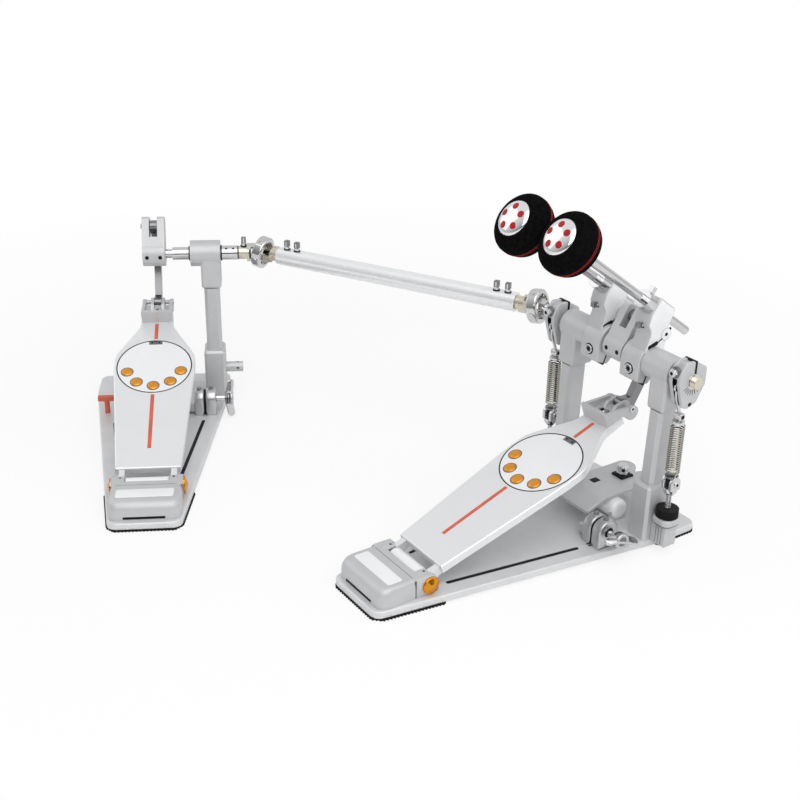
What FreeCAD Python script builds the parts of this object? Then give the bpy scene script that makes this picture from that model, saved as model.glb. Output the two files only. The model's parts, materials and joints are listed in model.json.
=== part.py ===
import FreeCAD, Part
import math
import os
import re
import Sketcher

# Twin-pedal bass drum beater mechanism.
# Frame: origin on the floor under the axle of the main pedal, on its middle plane.
# X runs along the main axle to the player's right, Y towards the drum, Z up. Millimetres.
# The second pedal repeats the first one's castings in a frame of its own, turned about Z.

SIZES = {
    # fits
    "running_fit": 0.05,
    "side_gap": 0.5,
    # axle, posts and bearing housings
    "axle_height": 210,
    "axle_radius": 6,
    "axle_stroke": 45,
    "post_x": 73,
    "post_lean": 1.6,
    "post_base_y": -6,
    "column_width": 20,
    "column_depth": 26,
    "column_chamfer": 4,
    "column_start": 30,
    "socket_width": 28,
    "socket_front": 24,
    "socket_back": 14,
    "socket_top": 78,
    "socket_edge": 3,
    "housing_inner": 47,
    "housing_outer": 86,
    "housing_radius": 17,
    "housing_drop": 45,
    "housing_width": 26,
    "housing_depth": 32,
    "housing_edge": 4,
    # floor plate and rubber soles: those at the heel are measured from the hinge
    "sole_thick": 3,
    "sole_inset": 1.5,
    "sole_past": 6.7,
    "sole_toe_front": -3,
    "base_thick": 7.5,
    "base_nose": 68.3,
    "base_front_half": 41.6,
    "base_wide_half": 90,
    "base_back": 58,
    "base_corner": 12,
    "base_edge": 2,
    "slot_heel_x": 34.5,
    "slot_past": 27.7,
    "slot_toe_x": 57.4,
    "slot_toe_y": -96.6,
    "slot_width": 4.4,
    # heel block, measured from the hinge, and hinge, measured from the footboard's heel edge
    "hinge_back": 14.9,
    "hinge_height": 21.4,
    "heel_half": 41.5,
    "heel_long": 62.3,
    "heel_clear": 10.3,
    "heel_top": 33,
    "heel_nose": 20,
    "heel_brow": 10,
    "heel_fall": 2,
    "heel_corner": 10,
    "ear_width": 6.5,
    "ear_radius": 11,
    "plate_half": 30,
    "plate_front": 41.3,
    "plate_back": 19.3,
    "plate_depth": 0.8,
    "mouth_half": 24,
    "mouth_low": 12.5,
    "mouth_high": 15.5,
    "mouth_depth": 3,
    "cap_radius": 10,
    "cap_thick": 3.6,
    "cap_dome": 3,
    "pin_radius": 4,
    "roller_radius": 9.6,
    "roller_half": 25,
    # footboard, in its own plane: most distances run back from its toe
    "board_slope": 20.38,
    "board_heel_height": 36.35,
    "board_thick": 9,
    "board_heel_half": 38.4,
    "board_wide_half": 51,
    "wide_start": 113,
    "wide_end": 86,
    "board_neck_half": 22,
    "neck_back": 32,
    "board_toe_half": 20,
    "board_toe": 278,
    "board_corner": 30,
    "board_rim": 2,
    "lug_x": 30.5,
    "lug_width": 7,
    "lug_radius": 8,
    "stripe_width": 4.6,
    "stripe_depth": 0.6,
    "stripe_heel_near": 31.6,
    "stripe_gap": 4.1,
    "stripe_toe_start": 55.6,
    "stripe_toe_end": 26,
    "disc_back": 105.8,
    "disc_radius": 46.4,
    "disc_gap": 0.9,
    "disc_thick": 3,
    "disc_tab_half": 8.5,
    "disc_tab_deep": 6.5,
    "dot_ring": 35,
    "dot_pitch": 37,
    "dot_radius": 7,
    "dot_high": 1.4,
    # toe bracket, measured from the footboard's toe, and link
    "bracket_back": 23,
    "bracket_over": 8,
    "bracket_half": 19.6,
    "bracket_floor": 3,
    "bracket_wall": 4,
    "bracket_high": 8,
    "bracket_front_high": 18,
    "toe_ear_over": 14.8,
    "toe_ear_rise": -3.8,
    "toe_ear_radius": 8.8,
    "clevis_over": 16,
    "clevis_y": 6.448,
    "clevis_rise": 1,
    "clevis_radius": 6,
    "clevis_wall": 4,
    "clevis_pin_radius": 3,
    "toe_bolt_back": 10,
    "toe_bolt_radius": 5,
    "toe_bolt_high": 6,
    "link_width": 9,
    "link_half": 6,
    "link_reach": 42,
    "link_reach_low": 28,
    "link_reach_high": 8,
    "link_head_radius": 7,
    # drive cam
    "cam_width": 29,
    "cam_radius": 16,
    "cam_pivot_y": 16,
    "cam_pivot_rise": 33,
    "cam_tip": 48,
    "cam_arm_half": 11,
    "cam_notch": 10.4,
    "cam_notch_floor": 21,
    "cam_nub_radius": 3,
    "cam_nub_out": 2.5,
    "cam_screw_x": 8.5,
    "cam_screw_radius": 1.8,
    "cam_screw_depth": 4,
    # beater holders
    "holder_inner": 17.5,
    "holder_outer": 46.5,
    "holder_arm_inner": 24.5,
    "holder_ring": 19,
    "rod_lean": 54.2,
    "rod_offset": 50.4,
    "rod_radius": 5,
    "rod_tail": 36,
    "block_tail": 8,
    "block_head": 38,
    "block_half": 11,
    "holder_ear": 27,
    "holder_split_turn": 20,
    "split": 1.8,
    "collar_radius": 10.5,
    "collar_long": 15,
    "key_head": 5.6,
    "key_long": 8,
    # beaters, along the rod from the foot of its perpendicular to the axle
    "felt_low": 168,
    "felt_long": 33,
    "felt_radius": 33,
    "felt_low_radius": 29.5,
    "felt_top_radius": 22,
    "felt_shoulder": 7,
    "beater_cap_radius": 20,
    "beater_cap_high": 5.5,
    "beater_cap_round": 3,
    # return springs
    "spring_cam_x": 100.5,
    "spring_cam_width": 16,
    "spring_cam_front": 21,
    "spring_cam_top": 23.5,
    "spring_cam_low": 31,
    "spring_cam_back": 18.5,
    "groove_width": 6.8,
    "groove_top": 4,
    "groove_low": 3.4,
    "hook_y": -15,
    "hook_drop": 6.2,
    "hook_pin_radius": 2,
    "hook_eye": 4.5,
    "hook_width": 5.6,
    "spring_y": -6.5,
    "spring_drop": 50,
    "spring_low": 97,
    "spring_disc_radius": 8.2,
    "spring_disc_thick": 3,
    "spring_radius": 7.1,
    "spring_wire": 1.7,
    "spring_pitch": 2.65,
    "spring_bend": 2.5,
    "anchor_block": 7,
    "anchor_block_high": 17,
    "anchor_rod_radius": 3,
    "knob_radius": 12.6,
    "knob_low": 46,
    "knob_high": 10,
    "knob_grooves": 24,
    "knob_groove": 0.9,
    "seat_thick": 8,
    "seat_half": 13,
    # universal joints and drive tube
    "main_joint_x": 146.2,
    "slave_joint_x": 141.4,
    "joint_span": 391.8,
    "tube_yaw": 28.27,
    "slave_yaw": 61.85,
    "ring_radius": 21,
    "ring_bore": 15.6,
    "ring_width": 13,
    "ring_screw_radius": 4.6,
    "ring_screw_out": 1.8,
    "ring_pin_radius": 3,
    "ring_pin_end": 10.5,
    "pin_play": 0.5,
    "prong_outer": 12.6,
    "prong_inner": 9.4,
    "prong_width": 8,
    "prong_tip": 4.8,
    "bridge_near": 16,
    "bridge_far": 20.5,
    "stem_radius": 8.6,
    "stem_end": 34,
    "tube_radius": 11.8,
    "tube_start": 27,
    "tube_flat": 10.2,
    "shaft_radius": 5.4,
    "shaft_gap": 0.3,
    "shaft_reach": 150,
    "shaft_bore": 165,
    "tube_bolt_first": 12,
    "tube_bolt_pitch": 15,
    "tube_bolt_neck": 2.4,
    "tube_bolt_high": 4,
    "stub_end": 115,
    "slave_collar_start": 23.8,
    "slave_collar_end": 44.9,
    "slave_collar_radius": 8.4,
    "slave_sleeve_start": 88,
    "slave_sleeve_end": 108.6,
    "slave_sleeve_radius": 9.4,
    # hoop clamp
    "clamp_y": -15,
    "clamp_height": 24,
    "clamp_roller_radius": 12,
    "clamp_roller_half": 38,
    "cheek_thick": 5,
    "rocker_half": 29,
    "rocker_thick": 4.5,
    "rocker_front": 55,
    "rocker_back": 42,
    "rocker_drop": 14,
    "clamp_bolt_y": 22,
    "clamp_bolt_radius": 6.5,
    "clamp_bolt_high": 13,
    "clamp_washer_half": 9,
    "clamp_washer_thick": 2.5,
    "clamp_screw_radius": 3.5,
    "clamp_screw_low": 26,
    "wedge_y": -66,
    "wedge_inner": 40,
    "wedge_outer": 74,
    "wedge_radius": 14,
    "wing_height": 29,
    "wing_shaft_radius": 4,
    "wing_start": 86,
    "wing_width": 14,
    "wing_half": 25,
    "wing_hub": 8.5,
    "wing_blade": 3.6,
    "main_wing_lean": -18,
    "slave_wing_lean": 80,
    # stay bar and drum key of the second pedal
    "stay_radius": 7,
    "stay_y": -6,
    "stay_height": 48,
    "stay_end": 110,
    "stay_hole_radius": 2,
    "stay_hole_in": 7,
    "key_x": -70,
    "key_y": -62,
    "key_stem_radius": 3.4,
    "key_rise": 24,
    "key_bar_half": 11,
    "key_bar_high": 6,
}

# Places that follow from the sizes. Along the footboard they run from its heel edge, and along the floor
# plate those named front, near, far, gap and back run forward from the axle.
PLACES = {
    "housing_foot": "axle_height - housing_drop",
    "spring_top": "axle_height - spring_drop",
    "board_wide_near": "board_toe - wide_start",
    "board_wide_far": "board_toe - wide_end",
    "board_neck": "board_toe - neck_back",
    "disc_at": "board_toe - disc_back",
    "stripe_heel_far": "disc_at - disc_radius - stripe_gap",
    "stripe_toe_near": "board_toe - stripe_toe_start",
    "stripe_toe_far": "board_toe - stripe_toe_end",
    "bracket_near": "board_toe - bracket_back",
    "bracket_far": "board_toe + bracket_over",
    "toe_bolt_at": "board_toe - toe_bolt_back",
    "toe_ear_at": "board_toe + toe_ear_over",
    "clevis_at": "board_toe + clevis_over",
    "board_heel_y": "clevis_y - clevis_at * cos(board_slope) + clevis_rise * sin(board_slope)",
    "hinge_y": "board_heel_y - hinge_back",
    "heel_gap": "heel_clear - hinge_y",
    "heel_front": "heel_long - hinge_y",
    "plate_near": "plate_front - hinge_y",
    "plate_far": "plate_back - hinge_y",
    "base_front": "base_nose - hinge_y",
    "sole_heel_back": "-sole_past - hinge_y",
    "slot_heel_y": "hinge_y + slot_past",
}

WORDS = re.compile(r"[a-z_]+")
ORIGIN = {"XY": "XY_Plane", "XZ": "XZ_Plane", "YZ": "YZ_Plane"}
AXES = {"x": FreeCAD.Vector(1, 0, 0), "y": FreeCAD.Vector(0, 1, 0), "z": FreeCAD.Vector(0, 0, 1)}

doc = FreeCAD.newDocument("double_bass_drum_pedal")
sheet = doc.addObject("Spreadsheet::Sheet", "Sizes")
nodes = {}


def fill_sheet():
    """Writes every driving size into its own named cell."""
    for row, (name, number) in enumerate(SIZES.items(), start=1):
        sheet.set("A%d" % row, name)
        sheet.set("B%d" % row, str(number))
        sheet.setAlias("B%d" % row, name)
    doc.recompute()


def size(name):
    """Value of one named size."""
    return float(sheet.get(name))


def linked(text):
    """Turns a formula in plain names of sizes and places into one that reads the sheet's cells."""
    def cell(found):
        word = found.group()
        if word in PLACES:
            return "(%s)" % linked(PLACES[word])
        return "Sizes." + word if word in SIZES else word
    return WORDS.sub(cell, text)


def bind(thing, prop, text):
    """Ties a property to a formula of sizes."""
    thing.setExpression(prop, linked(text))


SLAVE_X = "-main_joint_x - joint_span * cos(tube_yaw) - slave_joint_x * cos(slave_yaw)"
SLAVE_Y = "-joint_span * sin(tube_yaw) - slave_joint_x * sin(slave_yaw)"
FRAMES = {
    "main": ("0", "0", "0"),
    "slave": (SLAVE_X, SLAVE_Y, "slave_yaw"),
    "tube": ("-main_joint_x", "0", "tube_yaw"),
}


def new_body(label, frame="main"):
    """Empty body in one of the three frames: main pedal, second pedal or drive tube."""
    piece = doc.addObject("PartDesign::Body", label)
    piece.Label = label
    piece.AllowCompound = True
    place_in_frame(piece, frame)
    nodes[label] = piece
    return piece


def place_in_frame(piece, frame):
    """Binds a sub-part's placement to its frame."""
    place_x, place_y, yaw = FRAMES[frame]
    piece.Placement = FreeCAD.Placement(FreeCAD.Vector(), FreeCAD.Rotation(AXES["z"], 1))
    bind(piece, "Placement.Base.x", place_x)
    bind(piece, "Placement.Base.y", place_y)
    bind(piece, "Placement.Rotation.Angle", yaw)


def new_sketch(piece, plane, at=("0", "0", "0"), turn=("z", "0")):
    """Sketch on an origin plane, shifted along the plane's own axes and turned about one of them."""
    sketch = piece.newObject("Sketcher::SketchObject", piece.Label + "_sketch")
    support = [item for item in piece.Origin.OriginFeatures if item.Role == ORIGIN[plane]][0]
    sketch.AttachmentSupport = [(support, "")]
    sketch.MapMode = "FlatFace"
    sketch.AttachmentOffset = FreeCAD.Placement(FreeCAD.Vector(), FreeCAD.Rotation(AXES[turn[0]], 1))
    for letter, text in zip("xyz", at):
        bind(sketch, "AttachmentOffset.Base." + letter, text)
    bind(sketch, "AttachmentOffset.Rotation.Angle", turn[1])
    return sketch


def pin_point(sketch, geometry, position, along_x, along_y):
    """Fixes a point of the sketch at two bound distances from its origin."""
    for kind, text in (("DistanceX", along_x), ("DistanceY", along_y)):
        row = sketch.addConstraint(Sketcher.Constraint(kind, -1, 1, geometry, position, 1.0))
        bind(sketch, "Constraints[%d]" % row, text)


def polygon(sketch, corners):
    """Closed outline through the given corners, each bound to its two formulas."""
    first = sketch.GeometryCount
    count = len(corners)
    spots = [FreeCAD.Vector(math.cos(2 * math.pi * k / count), math.sin(2 * math.pi * k / count), 0)
             for k in range(count)]
    for k in range(count):
        sketch.addGeometry(Part.LineSegment(spots[k], spots[(k + 1) % count]), False)
    for k in range(count):
        sketch.addConstraint(Sketcher.Constraint("Coincident", first + k, 2, first + (k + 1) % count, 1))
    for k, (along_x, along_y) in enumerate(corners):
        pin_point(sketch, first + k, 1, along_x, along_y)
    return sketch


def rectangle(sketch, low_x, low_y, high_x, high_y):
    """Rectangle between two corners."""
    return polygon(sketch, [(low_x, low_y), (high_x, low_y), (high_x, high_y), (low_x, high_y)])


def circle(sketch, along_x, along_y, radius):
    """Circle with a bound centre and radius."""
    row = sketch.addGeometry(Part.Circle(FreeCAD.Vector(), AXES["z"], 1.0), False)
    pin_point(sketch, row, 3, along_x, along_y)
    radius_row = sketch.addConstraint(Sketcher.Constraint("Radius", row, 1.0))
    bind(sketch, "Constraints[%d]" % radius_row, radius)
    return sketch


def add(piece, kind, sketch):
    """Feature made from a sketch."""
    feature = piece.newObject("PartDesign::" + kind, piece.Label + "_" + kind.lower())
    feature.Profile = sketch
    sketch.Visibility = False
    return feature


def pad(piece, sketch, length, side="One side", backward=False):
    """Adds the sketch's outline, drawn out by a bound length."""
    feature = add(piece, "Pad", sketch)
    feature.SideType = side
    feature.Reversed = backward
    bind(feature, "Length", length)
    return feature


def pocket(piece, sketch, length=None, backward=False):
    """Cuts the sketch's outline to a bound depth, or right through both ways."""
    feature = add(piece, "Pocket", sketch)
    if length is None:
        feature.Type = "ThroughAll"
        feature.SideType = "Symmetric"
    else:
        feature.Reversed = backward
        bind(feature, "Length", length)
    return feature


def revolve(piece, sketch):
    """Turns the outline once round the sketch's upright axis."""
    feature = add(piece, "Revolution", sketch)
    feature.ReferenceAxis = (sketch, ["V_Axis"])
    feature.Angle = 360
    return feature


def dress(piece, kind, prop, amount, rule):
    """Fillet or chamfer on the edges of the finished solid that the rule picks."""
    doc.recompute()
    shape = piece.Tip.Shape
    picked = ["Edge%d" % row for row, edge in enumerate(shape.Edges, start=1) if rule(edge)]
    feature = piece.newObject("PartDesign::" + kind, piece.Label + "_" + kind.lower())
    feature.Base = (piece.Tip, picked) if piece.Tip != feature else (feature.BaseFeature, picked)
    bind(feature, prop, amount)
    return feature


def fillet(piece, radius, rule):
    """Rounds the picked edges."""
    return dress(piece, "Fillet", "Radius", radius, rule)


def chamfer(piece, amount, rule):
    """Bevels the picked edges."""
    return dress(piece, "Chamfer", "Size", amount, rule)


def straight_along(axis):
    """Rule: straight edges that run along one axis."""
    def rule(edge):
        return edge.Curve.TypeId == "Part::GeomLine" and abs(edge.Curve.Direction.dot(axis)) > 0.999
    return rule


def at_height(level):
    """Rule: edges that lie level at one height."""
    def rule(edge):
        return edge.BoundBox.ZLength < 0.01 and abs(edge.BoundBox.ZMax - level) < 0.01
    return rule


def drum(piece, radius, start, length, along_y="0", along_z="axle_height"):
    """Round bar along X from a starting X."""
    sketch = new_sketch(piece, "YZ", (along_y, along_z, start))
    pad(piece, circle(sketch, "0", "0", radius), length)


def bore(piece, radius, along_y="0", along_z="axle_height"):
    """Round hole along X, right through."""
    pocket(piece, circle(new_sketch(piece, "YZ", (along_y, along_z, "0")), "0", "0", radius))


def half_width_at(distance):
    """Half width of the floor plate at a distance in front of the axle."""
    return "(base_wide_half - (base_wide_half - base_front_half) * (%s) / base_front)" % distance


def build_base(pedal):
    """Tapered floor plate with a rounded rim and two long slots."""
    piece = new_body(pedal + "_base", pedal)
    outline = [("-base_front_half", "-base_front"), ("base_front_half", "-base_front"),
               ("base_wide_half", "0"), ("base_wide_half", "base_back"),
               ("-base_wide_half", "base_back"), ("-base_wide_half", "0")]
    pad(piece, polygon(new_sketch(piece, "XY", ("0", "0", "sole_thick")), outline), "base_thick")
    fillet(piece, "base_corner", straight_along(AXES["z"]))
    fillet(piece, "base_edge", at_height(size("sole_thick") + size("base_thick")))
    for side in ("", "-"):
        build_base_slot(piece, side)


def build_base_slot(piece, side):
    """Long slot beside the footboard, with round ends."""
    half = "slot_width / 2"
    heel_x = side + "slot_heel_x"
    toe_x = side + "slot_toe_x"
    sketch = new_sketch(piece, "XY")
    polygon(sketch, [(heel_x + " - " + half, "slot_heel_y"), (heel_x + " + " + half, "slot_heel_y"),
                     (toe_x + " + " + half, "slot_toe_y"), (toe_x + " - " + half, "slot_toe_y")])
    pocket(piece, sketch)
    ends = new_sketch(piece, "XY")
    circle(ends, heel_x, "slot_heel_y", half)
    circle(ends, toe_x, "slot_toe_y", half)
    pocket(piece, ends)


def build_soles(pedal):
    """Two rubber pads, one under the heel and one under the toe."""
    piece = new_body(pedal + "_soles", pedal)
    front = "base_front - sole_inset"
    for near, far in ((front, "sole_heel_back"), ("-sole_toe_front", "-(base_back - sole_inset)")):
        near_half = "min(%s; base_wide_half) - sole_inset" % half_width_at(near)
        far_half = "min(%s; base_wide_half) - sole_inset" % half_width_at(far)
        sketch = new_sketch(piece, "XY")
        polygon(sketch, [("-(%s)" % near_half, "-(%s)" % near), (near_half, "-(%s)" % near),
                         (far_half, "-(%s)" % far), ("-(%s)" % far_half, "-(%s)" % far)])
        pad(piece, sketch, "sole_thick")
    fillet(piece, "base_corner / 2", straight_along(AXES["z"]))


def build_heel_block(pedal):
    """Rounded heel casting with two hinge ears, a bare plate recess and a front mouth."""
    piece = new_body(pedal + "_heel_block", pedal)
    floor = "sole_thick + base_thick"
    side = [("-heel_front", floor), ("-heel_front", "heel_nose"),
            ("-heel_front + heel_brow", "heel_top - heel_fall"), ("-heel_gap", "heel_top"),
            ("-heel_gap", floor)]
    pad(piece, polygon(new_sketch(piece, "YZ"), side), "2 * heel_half", "Symmetric")
    fillet(piece, "heel_corner", upright_at_front(piece))
    for sign in ("", "-"):
        ear = new_sketch(piece, "YZ", ("0", "0", "%s(heel_half - ear_width / 2)" % sign))
        polygon(ear, [("-heel_gap - heel_corner", floor), ("hinge_y + ear_radius", floor),
                      ("hinge_y + ear_radius", "hinge_height"), ("hinge_y", "hinge_height + ear_radius"),
                      ("-heel_gap - heel_corner", "hinge_height + ear_radius - 1")])
        pad(piece, ear, "ear_width", "Symmetric")
    bore(piece, "pin_radius", "hinge_y", "hinge_height")
    recess = new_sketch(piece, "XY", ("0", "0", "heel_top"))
    rectangle(recess, "-plate_half", "-plate_near", "plate_half", "-plate_far")
    pocket(piece, recess, "plate_depth + heel_fall / 2")
    mouth = new_sketch(piece, "XZ", ("0", "0", "heel_front"))
    rectangle(mouth, "-mouth_half", "mouth_low", "mouth_half", "mouth_high")
    pocket(piece, mouth, "mouth_depth")


def upright_at_front(piece):
    """Rule: upright and sloping edges at the two front corners of the heel block."""
    doc.recompute()
    behind = piece.Tip.Shape.BoundBox.YMin + size("heel_brow") + 0.01

    def rule(edge):
        if edge.Curve.TypeId != "Part::GeomLine" or abs(edge.Curve.Direction.x) > 0.01:
            return False
        return edge.BoundBox.YMax < behind and edge.BoundBox.ZLength > 1
    return rule


def build_hinge(pedal):
    """Hinge pin with its bright roller, and the two round caps that close it."""
    pin = new_body(pedal + "_hinge_pin", pedal)
    drum(pin, "pin_radius", "-heel_half", "2 * heel_half", "hinge_y", "hinge_height")
    drum(pin, "roller_radius", "-roller_half", "2 * roller_half", "hinge_y", "hinge_height")
    caps = new_body(pedal + "_hinge_caps", pedal)
    drum(caps, "cap_radius", "heel_half", "cap_thick", "hinge_y", "hinge_height")
    drum(caps, "cap_radius", "-heel_half - cap_thick", "cap_thick", "hinge_y", "hinge_height")
    outer = size("heel_half") + size("cap_thick")
    fillet(caps, "cap_dome", lambda edge: abs(abs(edge.BoundBox.Center.x) - outer) < 0.01)


def board_sketch(piece, rise="0"):
    """Sketch in the footboard's top plane, or parallel to it: X across, Y from the heel edge to the toe."""
    along_y = "board_heel_y - (%s) * sin(board_slope)" % rise
    along_z = "board_heel_height + (%s) * cos(board_slope)" % rise
    return new_sketch(piece, "XY", ("0", along_y, along_z), ("x", "board_slope"))


def board_side_sketch(piece, across):
    """Sketch in a side plane of the footboard: X from the heel edge to the toe, Y off its top face."""
    return new_sketch(piece, "YZ", ("board_heel_y", "board_heel_height", across), ("z", "board_slope"))


HINGE_BACK = "(hinge_y - board_heel_y)"
HINGE_RISE = "(hinge_height - board_heel_height)"
HINGE_ALONG = "(%s * cos(board_slope) + %s * sin(board_slope))" % (HINGE_BACK, HINGE_RISE)
HINGE_OFF = "(%s * cos(board_slope) - %s * sin(board_slope))" % (HINGE_RISE, HINGE_BACK)


def build_footboard(pedal):
    """Footboard with a round seat for its disc, two stripe grooves and two hinge lugs."""
    piece = new_body(pedal + "_footboard", pedal)
    right = [("board_heel_half", "0"), ("board_wide_half", "board_wide_near"),
             ("board_wide_half", "board_wide_far"), ("board_neck_half", "board_neck"),
             ("board_toe_half", "board_toe")]
    left = [("-" + across, along) for across, along in reversed(right)]
    pad(piece, polygon(board_sketch(piece), right + left), "board_thick", backward=True)
    slope = math.radians(size("board_slope"))
    off_board = FreeCAD.Vector(0, -math.sin(slope), math.cos(slope))
    along_board = FreeCAD.Vector(0, math.cos(slope), math.sin(slope))
    doc.recompute()
    corners = [corner.Point for corner in piece.Tip.Shape.Vertexes]
    toe = max(corner.dot(along_board) for corner in corners)
    top = max(corner.dot(off_board) for corner in corners)

    def waist(edge):
        back = toe - edge.BoundBox.Center.dot(along_board)
        between = size("board_thick") < back < 1.5 * size("wide_start")
        return between and straight_along(off_board)(edge)

    def rim(edge):
        return abs(edge.BoundBox.Center.dot(off_board) - top) < 0.01

    fillet(piece, "board_corner", waist)
    fillet(piece, "board_rim", rim)
    seat = circle(board_sketch(piece), "0", "disc_at", "disc_radius + disc_gap")
    pocket(piece, seat, "disc_thick")
    for near, far in (("stripe_heel_near", "stripe_heel_far"), ("stripe_toe_near", "stripe_toe_far")):
        groove = rectangle(board_sketch(piece), "-stripe_width / 2", near, "stripe_width / 2", far)
        pocket(piece, groove, "stripe_depth")
    for sign in ("", "-"):
        lug = board_side_sketch(piece, sign + "lug_x")
        polygon(lug, [(HINGE_ALONG, HINGE_OFF + " + 0.9 * lug_radius"),
                      ("2 * board_rim", "-1.25 * board_rim"),
                      ("2 * board_thick", "-board_thick"), (HINGE_ALONG, HINGE_OFF + " - 0.9 * lug_radius")])
        pad(piece, lug, "lug_width", "Symmetric")
        eye = circle(board_side_sketch(piece, sign + "lug_x"), HINGE_ALONG, HINGE_OFF, "lug_radius")
        pad(piece, eye, "lug_width", "Symmetric")
    bore(piece, "pin_radius + running_fit", "hinge_y", "hinge_height")


def build_disc(pedal):
    """Round insert of the footboard with a notch at its toe edge, and its five round grips."""
    disc = new_body(pedal + "_disc", pedal)
    pad(disc, circle(board_sketch(disc), "0", "disc_at", "disc_radius"), "disc_thick", backward=True)
    tab = board_sketch(disc)
    rectangle(tab, "-disc_tab_half", "disc_at + disc_radius - disc_tab_deep",
              "disc_tab_half", "disc_at + 2 * disc_radius")
    pocket(disc, tab, "disc_thick")
    dots = new_body(pedal + "_grip_dots", pedal)
    for step in range(-2, 3):
        angle = "%d * dot_pitch" % step
        sketch = board_sketch(dots)
        circle(sketch, "dot_ring * sin(%s)" % angle, "disc_at - dot_ring * cos(%s)" % angle, "dot_radius")
        pad(dots, sketch, "dot_high")


def build_toe_bracket(pedal):
    """Tray on the toe with a high front, side walls that end in round ears, two clevis ears between them,
    their pin and one hexagon bolt."""
    piece = new_body(pedal + "_toe_bracket", pedal)
    floor = rectangle(board_sketch(piece), "-bracket_half", "bracket_near", "bracket_half", "bracket_far")
    pad(piece, floor, "bracket_floor")
    front = rectangle(board_sketch(piece), "-bracket_half", "bracket_near", "bracket_half",
                      "bracket_near + bracket_wall")
    pad(piece, front, "bracket_front_high")
    for sign in ("", "-"):
        side = "%s(bracket_half - bracket_wall / 2)" % sign
        wall = board_side_sketch(piece, side)
        polygon(wall, [("bracket_near", "0"), ("board_toe + side_gap", "0"),
                       ("toe_ear_at", "toe_ear_rise - toe_ear_radius"),
                       ("toe_ear_at", "toe_ear_rise + toe_ear_radius"),
                       ("bracket_near", "bracket_front_high")])
        pad(piece, wall, "bracket_wall", "Symmetric")
        toe_ear = circle(board_side_sketch(piece, side), "toe_ear_at", "toe_ear_rise", "toe_ear_radius")
        pad(piece, toe_ear, "bracket_wall", "Symmetric")
        across = "%s(link_width / 2 + side_gap + clevis_wall / 2)" % sign
        ear = board_side_sketch(piece, across)
        behind_bolt = "toe_bolt_at + toe_bolt_radius + side_gap"
        polygon(ear, [(behind_bolt, "0"), ("board_toe + side_gap", "0"),
                      ("clevis_at", "clevis_rise - clevis_radius"),
                      ("clevis_at", "clevis_rise + clevis_radius"),
                      ("bracket_far - clevis_wall", "bracket_high"),
                      (behind_bolt, "bracket_floor")])
        pad(piece, ear, "clevis_wall", "Symmetric")
        pad(piece, circle(board_side_sketch(piece, across), "clevis_at", "clevis_rise", "clevis_radius"),
            "clevis_wall", "Symmetric")
    pin = circle(board_side_sketch(piece, "0"), "clevis_at", "clevis_rise", "clevis_pin_radius")
    pad(piece, pin, "2 * bracket_half", "Symmetric")
    bolt = board_sketch(piece, "bracket_floor")
    polygon(bolt, [("toe_bolt_radius * cos(%d)" % turn, "toe_bolt_at + toe_bolt_radius * sin(%d)" % turn)
                   for turn in range(0, 360, 60)])
    pad(piece, bolt, "toe_bolt_high")


CLEVIS_Z = "(board_heel_height + clevis_at * sin(board_slope) + clevis_rise * cos(board_slope))"


def build_link(pedal):
    """Flat link that bows out behind the axle from the toe clevis to the fork of the drive cam."""
    piece = new_body(pedal + "_link", pedal)
    head_y = "cam_pivot_y"
    head_z = "axle_height + cam_pivot_rise"
    low_z = "axle_height - link_reach_low"
    high_z = "axle_height + link_reach_high"
    under = CLEVIS_Z + " - link_half"
    over = CLEVIS_Z + " + link_half"
    outer_y = "link_reach + link_half"
    inner_y = "link_reach - link_half"
    outline = [("clevis_y", under), ("clevis_y + 3 * link_half", under), (outer_y, low_z + " - link_half"),
               (outer_y, high_z), (head_y + " + link_half", head_z + " + link_half"),
               (head_y + " - link_half", head_z), (inner_y, high_z + " - link_half"), (inner_y, low_z),
               ("clevis_y + 2 * link_half", over), ("clevis_y", over)]
    pad(piece, polygon(new_sketch(piece, "YZ"), outline), "link_width", "Symmetric")
    fillet(piece, "2 * link_half", bent_edges)
    for along_y, along_z in (("clevis_y", CLEVIS_Z), (head_y, head_z)):
        head = circle(new_sketch(piece, "YZ"), along_y, along_z, "link_head_radius")
        pad(piece, head, "link_width", "Symmetric")
    bore(piece, "clevis_pin_radius + running_fit", "clevis_y", CLEVIS_Z)


def bent_edges(edge):
    """Rule: edges across the link at its two outer bends."""
    across = straight_along(AXES["x"])(edge)
    return across and edge.BoundBox.Center.y > size("link_reach") - 1.2 * size("link_half")


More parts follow.
